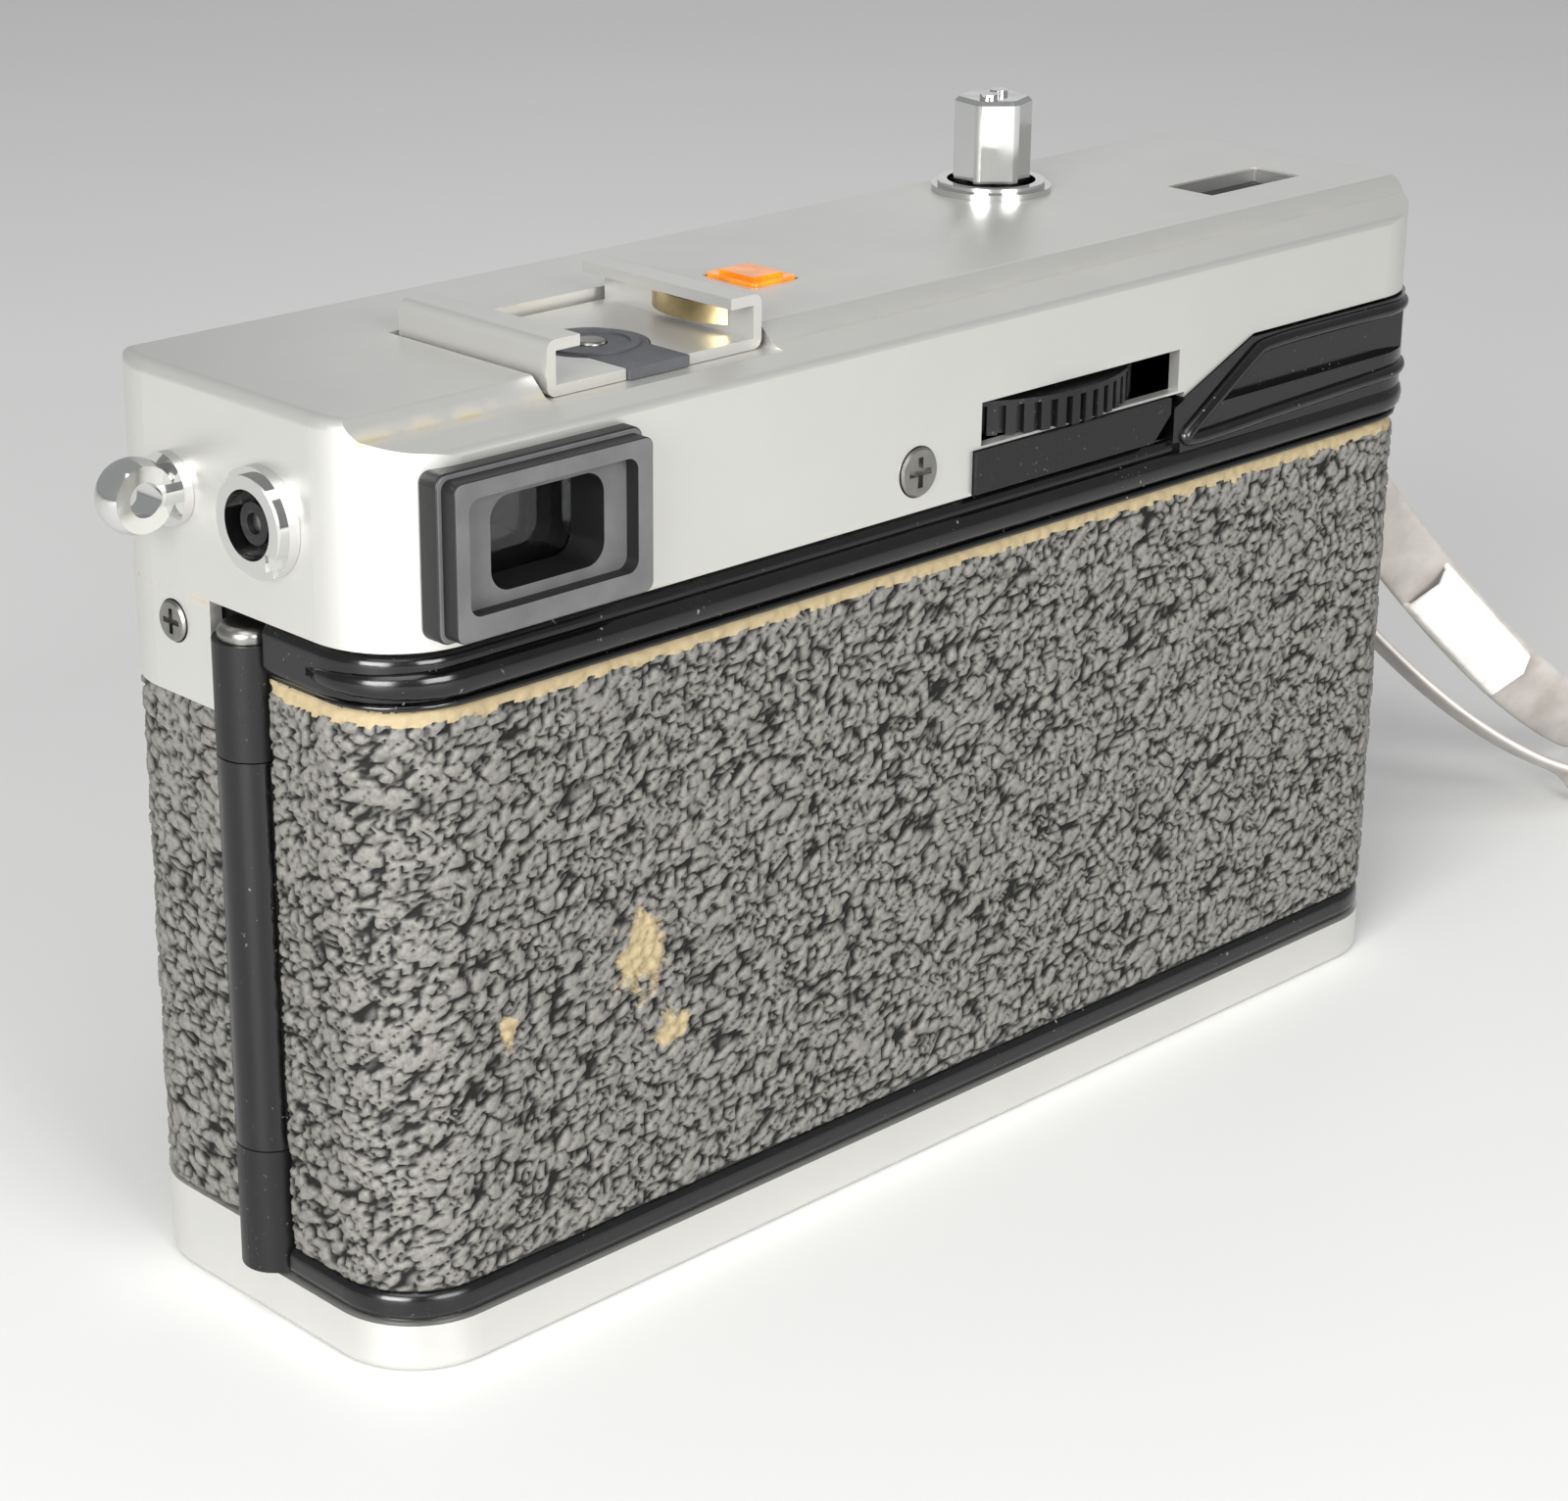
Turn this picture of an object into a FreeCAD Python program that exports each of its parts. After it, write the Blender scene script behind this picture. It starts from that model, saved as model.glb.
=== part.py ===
"""Compact 35 mm viewfinder camera with a hinged back, a thumbwheel advance and a wrist strap.

Frame: X along the length (the flash-socket end is +X), Y through the depth (the lens looks along
-Y, the film door faces +Y), Z up.  The origin is the mouth of the tripod socket in the base.
Every function returns the solid of one named piece, in millimetres.
"""
import FreeCAD, Part
import math
import os

V = FreeCAD.Vector

# ---- driving dimensions ------------------------------------------------------------------
LENGTH = 115.0           # over the two ends of the covers
DEPTH = 32.6             # front panel to door, without the lens
HEIGHT = 70.2            # base to deck
CORNER_R = 7.0           # vertical corners, in plan
HX = LENGTH / 2
HY = DEPTH / 2

COVER_WALL = 1.0
SKIN = 0.6               # leatherette thickness
GAP = 0.1                # working gap between parts that only lie next to each other
RUN = 0.05               # radial clearance of a running fit

SPLIT_Y = -2.6           # the front parts end here, the door begins behind it
BASE_BACK_Z = 3.86       # rim of the base plate under the door
BASE_FRONT_Z = 6.8       # rim of the base plate under the front panel
COVER_BACK_Z = 54.5      # lower edge of the top cover over the door
COVER_FRONT_Z = 46.5     # lower edge of the top cover on the front
BEVEL_IN = 3.4           # slope along the front of the deck
PLATEAU_Y = 11.7         # back edge of the deck's plateau
PLATEAU_DROP = 1.3       # from the plateau down to the shelf behind it
SHELF_DROP = 2.3         # from the plateau down to the outer edge of the shelf
DECK_EDGE_R = 0.9
CHASSIS_TOP = 54.0

DOOR_Z0 = BASE_BACK_Z + GAP
DOOR_Z1 = 54.3
DOOR_LEATHER_Z0 = 6.5
DOOR_LEATHER_Z1 = 50.2

HINGE_X = 56.3           # hinge axis, upright
HINGE_Y = 0.15
HINGE_R = 2.6
PIN_R = 1.0
KNUCKLE_Z = (4.2, 14.0, 44.0, 52.4)   # joints between the three hinge knuckles

LENS_X = 3.5
LENS_Z = 29.5
LENS_FRONT_Y = -40.3
BARREL_R = 17.0
FILTER_R = 19.9          # minor radius of a 40.5 mm filter thread
FILTER_SEAT_Y = -37.6    # bottom of that thread

FILM_Y = 9.9             # plane of the outer film rails
GATE_W = 36.0
GATE_H = 24.0
CARTRIDGE_X = 40.5
CARTRIDGE_Y = -0.5
CARTRIDGE_R = 12.9
SPOOL_X = -42.8
SPOOL_R = 10.8
SPROCKET_X = -24.0
SPROCKET_Y = 4.1
SPROCKET_R = 5.95        # eight perforations of 4.75 mm round the drum
CHAMBER_Z = (5.2, 52.6)

FINDER_X = (35.5, 53.6)
FINDER_Z = (55.3, 67.0)
FINDER_FLANGE = 1.2      # thickness of the surround's flange
FINDER_PLATE = 2.6       # how far its plate stands off the cover
FINDER_GLASS_Y = 14.3    # face of the eyepiece lens

SHOE_X = 29.7
SHOE_W = 20.2
SHOE_T = 0.8             # 18.6 mm inside
SHOE_Y = (-3.2, 12.6)
SHOE_Z = (68.6, 72.6)
SHOE_LIP = 3.0

LAMP = (9.9, 1.5)        # amber window in the deck
RELEASE = (-26.5, -7.3)
RELEASE_TRAVEL = 2.2
RELEASE_TOP = 78.0
COUNTER = (-44.2, 4.35)
COUNTER_SIZE = (11.8, 4.8)
DIAL_Y = -3.1
DIAL_R = 9.9

WHEEL = (-10.5, 1.8)
WHEEL_R = 15.5
WHEEL_Z = (58.3, 61.0)
WHEEL_SLOT_X = (-23.2, 0.0)
WHEEL_SLOT_Z = (58.2, 61.6)
SHIELD_X = (-23.0, 0.8)

SOCKET_Y = 4.2           # flash socket on the end of the cover
LUG_Y = -6.3
LUG_Z = 61.8
LUG_EYE = 3.1            # from the end face to the centre of the eye
EYE_R = 1.25

REWIND_R = 7.6
TRIPOD_R = 2.55          # minor radius of the 1/4 inch thread
TRIPOD_DEPTH = 6.0
BATTERY = (-14.5, -7.0)

BAND_W = 6.5             # wrist band
BAND_CORE_R = 0.9
# The band's route: out of the ring, down to the table, round the wrist loop and back to the ring.
BAND_ROUTE = [(-61.7, -6.3, 52.6), (-75.5, 0.0, 30.0), (-108.5, 5.0, 1.3), (-133.0, 2.0, 1.0),
              (-155.0, 2.0, 1.0), (-174.0, 17.0, 1.0), (-169.0, 40.0, 1.0), (-147.0, 47.0, 1.0),
              (-125.0, 34.0, 1.0), (-101.0, 11.0, 1.2), (-84.5, 3.5, 11.0), (-68.0, -5.0, 30.0),
              (-59.8, -6.3, 52.6)]


# ---- small helpers -----------------------------------------------------------------------
def box(x0, x1, y0, y1, z0, z1):
    """Box between two corners."""
    return Part.makeBox(x1 - x0, y1 - y0, z1 - z0, V(x0, y0, z0))


def rod(r, a, b):
    """Round bar of radius r from point a to point b."""
    start = V(*a)
    run = V(*b) - start
    return Part.makeCylinder(r, run.Length, start, run)


def tube(r_out, r_in, a, b):
    """Ring or sleeve from a to b."""
    return rod(r_out, a, b).cut(rod(r_in, a, b))


def plan(hx, hy, r, z):
    """Rounded rectangle in plan, as a closed wire at height z."""
    k = r * (1 - math.sqrt(0.5))
    pts = [V(hx, hy - r, z), V(hx - k, hy - k, z), V(hx - r, hy, z)]
    edges = []
    signs = [(1, 1), (-1, 1), (-1, -1), (1, -1)]
    arcs = []
    for i, (sx, sy) in enumerate(signs):
        arc = [V(p.x * sx, p.y * sy, z) for p in pts]
        arcs.append(arc if i % 2 == 0 else arc[::-1])
    for i, arc in enumerate(arcs):
        edges.append(Part.Arc(*arc).toShape())
        edges.append(Part.LineSegment(arc[-1], arcs[(i + 1) % 4][0]).toShape())
    return Part.Wire(edges)


def slab(hx, hy, r, z0, z1):
    """Upright prism of a rounded rectangle."""
    return Part.Face(plan(hx, hy, r, z0)).extrude(V(0, 0, z1 - z0))


def outline(points, run):
    """Prism of a polygon, extruded along the vector run."""
    pts = [V(*p) for p in points]
    return Part.Face(Part.makePolygon(pts + pts[:1])).extrude(V(*run))


def lens_ring(r_out, r_in, y0, y1):
    """Ring on the lens axis."""
    return tube(r_out, r_in, (LENS_X, y0, LENS_Z), (LENS_X, y1, LENS_Z))


def knurl(solid, r, count, depth, y0, y1):
    """Cut count grooves round a ring on the lens axis."""
    cuts = []
    for i in range(count):
        a = 2 * math.pi * i / count
        cuts.append(rod(depth, (LENS_X + r * math.cos(a), y0, LENS_Z + r * math.sin(a)),
                        (LENS_X + r * math.cos(a), y1, LENS_Z + r * math.sin(a))))
    return solid.cut(Part.makeCompound(cuts))


def screw(centre, out, r, shaft):
    """Cross-slotted screw; centre lies on the surface and out is its outward normal."""
    c, n = V(*centre), V(*out)
    side = n.cross(V(0, 0, 1)) if abs(n.z) < 0.5 else V(1, 0, 0)
    other = n.cross(side)
    body = Part.makeCylinder(r, 0.9, c - n * 0.6, n)
    body = body.makeChamfer(0.15, [e for e in body.Edges if e.BoundBox.Center.sub(c).dot(n) > 0.29])
    body = body.fuse(Part.makeCylinder(r * 0.45, shaft, c - n * (0.6 + shaft), n))
    for a, b in ((side, other), (other, side)):
        corners = [c + n * 0.31 + a * (r * 0.62 * i) + b * (r * 0.14 * j)
                   for i, j in ((-1, -1), (1, -1), (1, 1), (-1, 1))]
        body = body.cut(Part.Face(Part.makePolygon(corners + corners[:1])).extrude(n * -0.5))
    return body.removeSplitter()


def screw_hole(centre, out, r, shaft):
    """Clearance for a screw made by screw()."""
    c, n = V(*centre), V(*out)
    head = Part.makeCylinder(r + GAP, 3.0, c - n * 0.65, n)
    return head.fuse(Part.makeCylinder(r * 0.45 + GAP, shaft + 0.2, c - n * (0.65 + shaft + 0.15), n))


BACK_SCREW = ((6.9, HY, 57.6), (0, 1, 0), 1.9, 2.0)
END_SCREWS = [((s * HX, -6.9, 52.0), (s, 0, 0), 1.5, 1.2) for s in (1, -1)]
BASE_SCREWS = [((x, y, 0.3), (0, 0, -1), 1.6, 1.6) for x, y in
               ((51.8, 11.0), (-51.8, 11.0), (24.5, -11.5), (-50.0, -11.0))]


# ---- covers ------------------------------------------------------------------------------
def deck_solid(grow, top, bottom):
    """Filled form of the top cover, grown outwards (or inwards, if negative) by grow.

    The deck is a plateau that drops to a narrow shelf along the back and slopes away along the front.
    """
    block = slab(HX + grow, HY + grow, CORNER_R + grow, bottom, top)
    rim = [e for e in block.Edges if e.BoundBox.ZMin > top - 0.01]
    block = block.makeFillet(DECK_EDGE_R, rim)
    back, front = HY + grow, -HY - grow
    section = outline([(-HX - 1, front, bottom), (-HX - 1, back, bottom), (-HX - 1, back, top - SHELF_DROP),
                       (-HX - 1, PLATEAU_Y + 1.4 + grow, top - PLATEAU_DROP), (-HX - 1, PLATEAU_Y + grow, top),
                       (-HX - 1, front + BEVEL_IN, top), (-HX - 1, front, top - SHELF_DROP)],
                      (2 * HX + 2, 0, 0))
    long_edges = [e for e in section.Edges if e.BoundBox.XLength > 2 * HX and e.BoundBox.ZMin > bottom + 1]
    section = section.makeFillet(0.55, long_edges)
    return block.common(section).removeSplitter()


def thumb_rest_area(grow, y0, y1):
    """Slanted area at the back right where the door's moulding rises into the cover."""
    z_top = 61.2 + grow
    pts = [(-22.6 + grow, y0, 54.0), (-22.6 + grow, y0, 56.9), (-32.6, y0, z_top),
           (-HX - 1, y0, z_top), (-HX - 1, y0, 54.0)]
    return outline(pts, (0, y1 - y0, 0))


def top_cover():
    """Pressed and satin-plated shell that carries the finder, shoe, release and counter."""
    shell = deck_solid(0, HEIGHT, COVER_FRONT_Z)
    shell = shell.cut(deck_solid(-COVER_WALL, HEIGHT - 1.2, COVER_FRONT_Z - 1))
    recess = (SHOE_X - SHOE_W / 2 - 0.6, SHOE_X + SHOE_W / 2 + 0.6)
    shell = shell.cut(box(*recess, SHOE_Y[0] - 0.6, HY + 1, SHOE_Z[0] - 0.05, HEIGHT + 1))
    floor = box(recess[0] - 1, recess[1] + 1, SHOE_Y[0] - 1.6, HY - BEVEL_IN + 1.0, SHOE_Z[0] - 1.05,
                SHOE_Z[0] - 0.05)
    wall = box(recess[0] - 1, recess[1] + 1, SHOE_Y[0] - 1.6, HY - BEVEL_IN + 1.0, SHOE_Z[0] - 1.05, 69.5)
    wall = wall.cut(box(*recess, SHOE_Y[0] - 0.6, HY, SHOE_Z[0] - 0.05, 70))
    shell = shell.fuse([floor, wall.common(deck_solid(-0.4, HEIGHT - 0.4, 60))])
    cuts = [box(-HX - 1, HX + 1, SPLIT_Y, HY + 1, COVER_FRONT_Z - 1, COVER_BACK_Z),
            thumb_rest_area(0.1, 2.7, HY + 1),
            box(*WHEEL_SLOT_X, HY - 3, HY + 1, *WHEEL_SLOT_Z),
            box(SHIELD_X[0] - 1, SHIELD_X[1] + GAP, HY - 1.6, HY + 1, 54, 57.9 + GAP),
            box(FINDER_X[0] + 0.8, FINDER_X[1] - 1.6, HY - 3, HY + 1, FINDER_Z[0] + 0.8, FINDER_Z[1] - 0.8),
            box(FINDER_X[0] + 1.6, FINDER_X[1] - 2.4, -HY - 1, -HY + 3, FINDER_Z[0] + 1.6, FINDER_Z[1] - 1.6),
            box(LAMP[0] - 2.4, LAMP[0] + 2.4, LAMP[1] - 2.8, LAMP[1] + 2.8, 68, 71),
            box(COUNTER[0] - COUNTER_SIZE[0] / 2, COUNTER[0] + COUNTER_SIZE[0] / 2,
                COUNTER[1] - COUNTER_SIZE[1] / 2, COUNTER[1] + COUNTER_SIZE[1] / 2, 68, 71),
            rod(4.1, (*RELEASE, 68), (*RELEASE, 71)),
            rod(22.2, (LENS_X, -HY - 1, LENS_Z), (LENS_X, -HY + 3, LENS_Z)),
            rod(3.0, (HX - 2, SOCKET_Y, LUG_Z), (HX + 1, SOCKET_Y, LUG_Z)),
            rod(1.6, (HX - 2, LUG_Y, LUG_Z), (HX + 1, LUG_Y, LUG_Z)),
            rod(1.6, (-HX - 1, LUG_Y, LUG_Z), (-HX + 2, LUG_Y, LUG_Z)),
            screw_hole(*BACK_SCREW)]
    cuts += [screw_hole(*s) for s in END_SCREWS]
    return shell.cut(cuts)


def bottom_plate():
    """Pressed base pan; its front rim stands higher than the one under the door."""
    pan = slab(HX, HY, CORNER_R, 0, BASE_FRONT_Z)
    pan = pan.makeFillet(0.7, [e for e in pan.Edges if e.BoundBox.ZMax < 0.01])
    pan = pan.cut(slab(HX - COVER_WALL, HY - COVER_WALL, CORNER_R - COVER_WALL, 1.2, BASE_FRONT_Z + 1))
    pan = pan.cut(box(-HX - 1, HX + 1, SPLIT_Y, HY + 1, BASE_BACK_Z, BASE_FRONT_Z + 1))
    holes = [rod(4.6, (0, 0, -1), (0, 0, 2)),
             rod(REWIND_R + 0.4, (CARTRIDGE_X, CARTRIDGE_Y, -1), (CARTRIDGE_X, CARTRIDGE_Y, 2)),
             rod(2.1, (SPROCKET_X, SPROCKET_Y, -1), (SPROCKET_X, SPROCKET_Y, 2)),
             rod(6.1, (*BATTERY, -1), (*BATTERY, 2))]
    return pan.cut(holes + [screw_hole(*s) for s in BASE_SCREWS])


def wrap(z0, z1, skin):
    """Upright band of the body's outline, skin mm thick, with its outer face on the body's face."""
    return slab(HX, HY, CORNER_R, z0, z1).cut(
        slab(HX - skin, HY - skin, CORNER_R - skin, z0 - 1, z1 + 1))


def front_leather():
    """Leatherette round the front and both ends as far as the door."""
    sheet = wrap(BASE_FRONT_Z + GAP, COVER_FRONT_Z - GAP, SKIN)
    sheet = sheet.cut([box(-HX - 1, HX + 1, SPLIT_Y - GAP, HY + 1, 0, HEIGHT),
                       rod(22.2, (LENS_X, -HY - 1, LENS_Z), (LENS_X, -HY + 3, LENS_Z)),
                       latch_slot()])
    return sheet


def chassis():
    """Die-cast body: cartridge and take-up chambers, light tunnel, film gate and rails."""
    low = slab(HX - SKIN - 0.02, HY - SKIN - 0.02, CORNER_R - SKIN, BASE_FRONT_Z + GAP, COVER_FRONT_Z)
    front = low.fuse(slab(HX - 1.1, HY - 1.1, CORNER_R - 1.1, BASE_BACK_Z + GAP, CHASSIS_TOP))
    front = front.common(box(-HX, HX, -HY, SPLIT_Y - GAP, 0, HEIGHT))
    block = front.fuse(box(-54.8, 54.8, SPLIT_Y - GAP, 9.0, BASE_BACK_Z + GAP, CHASSIS_TOP))
    for z in (LENS_Z - 16.5, LENS_Z + 15.3):
        block = block.fuse(box(-30.0, 27.0, 8.5, FILM_Y, z, z + 1.2))
    for z in (LENS_Z - 13.6, LENS_Z + 12.4):
        block = block.fuse(box(-16.0, 23.0, 8.5, FILM_Y - 0.25, z, z + 1.2))
    z0, z1 = CHAMBER_Z
    cuts = [rod(CARTRIDGE_R, (CARTRIDGE_X, CARTRIDGE_Y, z0), (CARTRIDGE_X, CARTRIDGE_Y, z1)),
            box(CARTRIDGE_X - CARTRIDGE_R, CARTRIDGE_X + CARTRIDGE_R, CARTRIDGE_Y, HY, z0, z1),
            rod(SPOOL_R, (SPOOL_X, 0, z0), (SPOOL_X, 0, z1)),
            box(SPOOL_X - SPOOL_R, SPOOL_X + SPOOL_R, 0, HY, z0, z1),
            rod(7.35, (SPROCKET_X, SPROCKET_Y, z0), (SPROCKET_X, SPROCKET_Y, z1)),
            rod(19.0, (LENS_X, -HY, LENS_Z), (LENS_X, -1.0, LENS_Z)),
            box(LENS_X - 18.6, LENS_X + 18.6, -1.0, 8.0, LENS_Z - 13.0, LENS_Z + 13.0),
            box(LENS_X - GATE_W / 2, LENS_X + GATE_W / 2, 7.0, HY, LENS_Z - GATE_H / 2, LENS_Z + GATE_H / 2),
            rod(2.0 + RUN, (CARTRIDGE_X, CARTRIDGE_Y, 3), (CARTRIDGE_X, CARTRIDGE_Y, 6)),
            rod(1.5 + RUN, (SPOOL_X, 0, 50), (SPOOL_X, 0, 55)),
            rod(1.5 + RUN, (SPROCKET_X, SPROCKET_Y, 50), (SPROCKET_X, SPROCKET_Y, 55)),
            rod(1.5 + RUN, (SPROCKET_X, SPROCKET_Y, 3), (SPROCKET_X, SPROCKET_Y, 6)),
            rod(4.6, (0, 0, 3), (0, 0, 8.6)),
            rod(6.1, (*BATTERY, 3), (*BATTERY, 8.2)),
            rod(HINGE_R + 0.35, (HINGE_X, HINGE_Y, 3), (HINGE_X, HINGE_Y, HEIGHT)),
            latch_slot()]
    cuts += [screw_hole(*s) for s in BASE_SCREWS + END_SCREWS]
    return block.cut(cuts).removeSplitter()


# ---- film door ---------------------------------------------------------------------------
def back_door():
    """Black moulded door with a rolled rim, the thumb rest and the middle hinge knuckle."""
    skin_line = slab(HX - SKIN - 0.02, HY - SKIN - 0.02, CORNER_R - SKIN, DOOR_Z0, DOOR_Z1)
    rims = [slab(HX - 0.15, HY - 0.15, CORNER_R - 0.15, DOOR_LEATHER_Z1 + GAP, DOOR_Z1),
            slab(HX - 0.15, HY - 0.15, CORNER_R - 0.15, DOOR_Z0, DOOR_LEATHER_Z0 - GAP)]
    rims = [r.makeFillet(0.9, [e for e in r.Edges if e.BoundBox.ZLength < 0.01]) for r in rims]
    rest = slab(HX + 0.25, HY + 0.25, CORNER_R + 0.25, DOOR_Z1 - 2.2, 61.1)
    rest = rest.common(thumb_rest_area(0, 3.0, HY + 1)
                       .fuse(box(-HX - 1, -23.5, 3.0, HY + 1, DOOR_Z1 - 2.2, 55)))
    sunk = [(-27.6, HY - 0.55, 56.4), (-33.4, HY - 0.55, 60.2), (-HX - 1, HY - 0.55, 60.2),
            (-HX - 1, HY - 0.55, 56.4)]
    rest = rest.cut(outline(sunk, (0, 3, 0)))
    door = skin_line.fuse(rims + [rest])
    inside = slab(55.2, HY - 2.0, 4.4, DOOR_Z0 - 1, 70)
    door = door.cut([inside, box(-HX - 1, HX + 1, -HY - 1, 0.2, 0, 70),
                     box(50, HX + 1, -HY, 3.1, 0, 70)])
    knuckle = rod(HINGE_R, (HINGE_X, HINGE_Y, KNUCKLE_Z[1] + GAP), (HINGE_X, HINGE_Y, KNUCKLE_Z[2] - GAP))
    web = box(55.2, 56.9, HINGE_Y, 4.0, KNUCKLE_Z[1] + GAP, KNUCKLE_Z[2] - GAP)
    door = door.fuse([knuckle, web])
    return door.cut(rod(PIN_R + RUN, (HINGE_X, HINGE_Y, 0), (HINGE_X, HINGE_Y, 60))).removeSplitter()


def door_leather():
    """Leatherette panel on the door, round both of its corners."""
    sheet = wrap(DOOR_LEATHER_Z0, DOOR_LEATHER_Z1, SKIN)
    return sheet.cut([box(-HX - 1, HX + 1, -HY - 1, 0.3, 0, HEIGHT), box(50, HX + 1, -HY, 3.2, 0, HEIGHT)])


def hinge_knuckles():
    """Upper and lower hinge knuckles, fixed to the body."""
    a, b, c, d = KNUCKLE_Z
    pair = [tube(HINGE_R, PIN_R + RUN, (HINGE_X, HINGE_Y, z0), (HINGE_X, HINGE_Y, z1))
            for z0, z1 in ((a, b), (c, d))]
    return Part.makeCompound(pair)


def hinge_pin():
    """Steel hinge pin with a domed head."""
    pin = rod(PIN_R, (HINGE_X, HINGE_Y, KNUCKLE_Z[0]), (HINGE_X, HINGE_Y, KNUCKLE_Z[3] + 0.1))
    head = rod(2.2, (HINGE_X, HINGE_Y, KNUCKLE_Z[3] + 0.05), (HINGE_X, HINGE_Y, KNUCKLE_Z[3] + 1.1))
    head = head.makeFillet(0.7, [e for e in head.Edges if e.BoundBox.ZMin > KNUCKLE_Z[3] + 1])
    return pin.fuse(head)


def pressure_plate():
    """Film pressure plate, carried by the door on its leaf springs."""
    plate = box(LENS_X - 24, LENS_X + 24, FILM_Y + 0.1, FILM_Y + 0.9, LENS_Z - 17, LENS_Z + 17)
    edges = [e for e in plate.Edges if abs(e.BoundBox.YLength - 0.8) < 0.01]
    return plate.makeFillet(3.0, edges)


def pressure_springs():
    """Two bowed leaf springs between the plate and the door."""
    leaves = []
    y0, y1 = FILM_Y + 0.9, HY - 2.0
    for z in (LENS_Z - 9, LENS_Z + 5):
        up = Part.Arc(V(LENS_X - 15, y1 - 0.05, z), V(LENS_X, y0 + 0.35, z), V(LENS_X + 15, y1 - 0.05, z))
        down = Part.Arc(V(LENS_X + 15, y1 - 0.35, z), V(LENS_X, y0 + 0.05, z), V(LENS_X - 15, y1 - 0.35, z))
        ends = [Part.LineSegment(up.EndPoint, down.StartPoint), Part.LineSegment(down.EndPoint, up.StartPoint)]
        wire = Part.Wire([up.toShape(), ends[0].toShape(), down.toShape(), ends[1].toShape()])
        leaves.append(Part.Face(wire).extrude(V(0, 0, 4)))
    return Part.makeCompound(leaves)


def latch_slot():
    """Slot in the far end for the door latch and its travel."""
    return box(-HX - 1, -HX + 2.4, -9.3, -6.7, 34.6, 43.6)


def door_latch():
    """Ribbed slide on the far end that frees the door when it is pushed down."""
    thumb = box(-HX - 1.3, -HX - 0.1, -11.0, -5.0, 37.0, 45.5)
    thumb = thumb.makeFillet(0.5, [e for e in thumb.Edges if e.BoundBox.XMax < -HX - 1.2])
    for i in range(5):
        thumb = thumb.cut(box(-HX - 2, -HX - 0.95, -10.2, -5.8, 38.6 + i * 1.3, 39.2 + i * 1.3))
    return thumb.fuse(box(-HX - 0.2, -HX + 2.2, -9.2, -6.8, 38.0, 43.5))


# ---- finder, deck and cover fittings -----------------------------------------------------
def finder_frame():
    """Stepped black eyepiece surround: a flange, a raised plate and a sunk panel round the eye."""
    x0, x1 = FINDER_X
    z0, z1 = FINDER_Z
    flange = box(x0, x1, HY - 0.55, HY + FINDER_FLANGE, z0, z1)
    flange = flange.makeFillet(0.9, [e for e in flange.Edges if e.BoundBox.YLength > 1.4])
    flange = flange.makeFillet(0.2, [e for e in flange.Edges if e.BoundBox.YMin > HY + FINDER_FLANGE - 0.01])
    flange = flange.cut(deck_solid(0.02, HEIGHT, COVER_FRONT_Z))
    plate = box(x0 + 0.35, x1 - 0.4, HY + 0.8, HY + FINDER_PLATE, z0 + 0.35, z1 - 0.4)
    plate = plate.makeFillet(0.7, [e for e in plate.Edges if e.BoundBox.YLength > 1.0])
    plate = plate.makeFillet(0.12, [e for e in plate.Edges if e.BoundBox.YMin > HY + FINDER_PLATE - 0.01])
    inner = box(x0 + 0.9, x1 - 1.7, HY - 4.2, HY + 0.1, z0 + 0.9, z1 - 0.9)
    frame = flange.fuse([plate, inner])
    sunk = box(x0 + 1.75, x1 - 1.55, HY + 1.4, HY + 4, z0 + 2.0, z1 - 1.6)
    sunk = sunk.makeFillet(0.9, [e for e in sunk.Edges if e.BoundBox.YLength > 2])
    eye = box(x0 + 3.8, x1 - 4.3, HY - 6, HY + 4, z0 + 2.8, z1 - 2.3)
    eye = eye.makeFillet(1.6, [e for e in eye.Edges if e.BoundBox.YLength > 5])
    seat = box(x0 + 3.2, x1 - 3.7, HY - 6, FINDER_GLASS_Y, z0 + 2.2, z1 - 1.7)
    return frame.cut([sunk, eye, seat])


def eyepiece_lens():
    """Plano-convex eyepiece."""
    x0, x1 = FINDER_X
    z0, z1 = FINDER_Z
    return box(x0 + 3.3, x1 - 3.8, FINDER_GLASS_Y - 1.8, FINDER_GLASS_Y - 0.1, z0 + 2.3, z1 - 1.8)


def finder_tube():
    """Black tunnel between the two finder windows."""
    x0, x1 = FINDER_X
    tunnel = box(x0 + 1.2, x1 - 2.0, -HY + 1.9, HY - 4.3, FINDER_Z[0] + 1.0, FINDER_Z[1] - 1.2)
    return tunnel.cut(box(x0 + 2.2, x1 - 3.0, -HY, HY, FINDER_Z[0] + 2.0, FINDER_Z[1] - 2.2))


def finder_window():
    """Front finder window."""
    return box(FINDER_X[0] + 1.7, FINDER_X[1] - 2.5, -HY + 0.2, -HY + 1.6, FINDER_Z[0] + 1.7, FINDER_Z[1] - 1.7)


def finder_bezel():
    """Thin frame round the front finder window."""
    x0, x1 = FINDER_X
    z0, z1 = FINDER_Z
    bezel = box(x0, x1 - 0.8, -HY - 0.7, -HY - 0.02, z0, z1)
    bezel = bezel.makeFillet(0.9, [e for e in bezel.Edges if abs(e.BoundBox.YLength - 0.68) < 0.01])
    return bezel.cut(box(x0 + 1.9, x1 - 2.7, -HY - 1, -HY, z0 + 1.9, z1 - 1.9))


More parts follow.
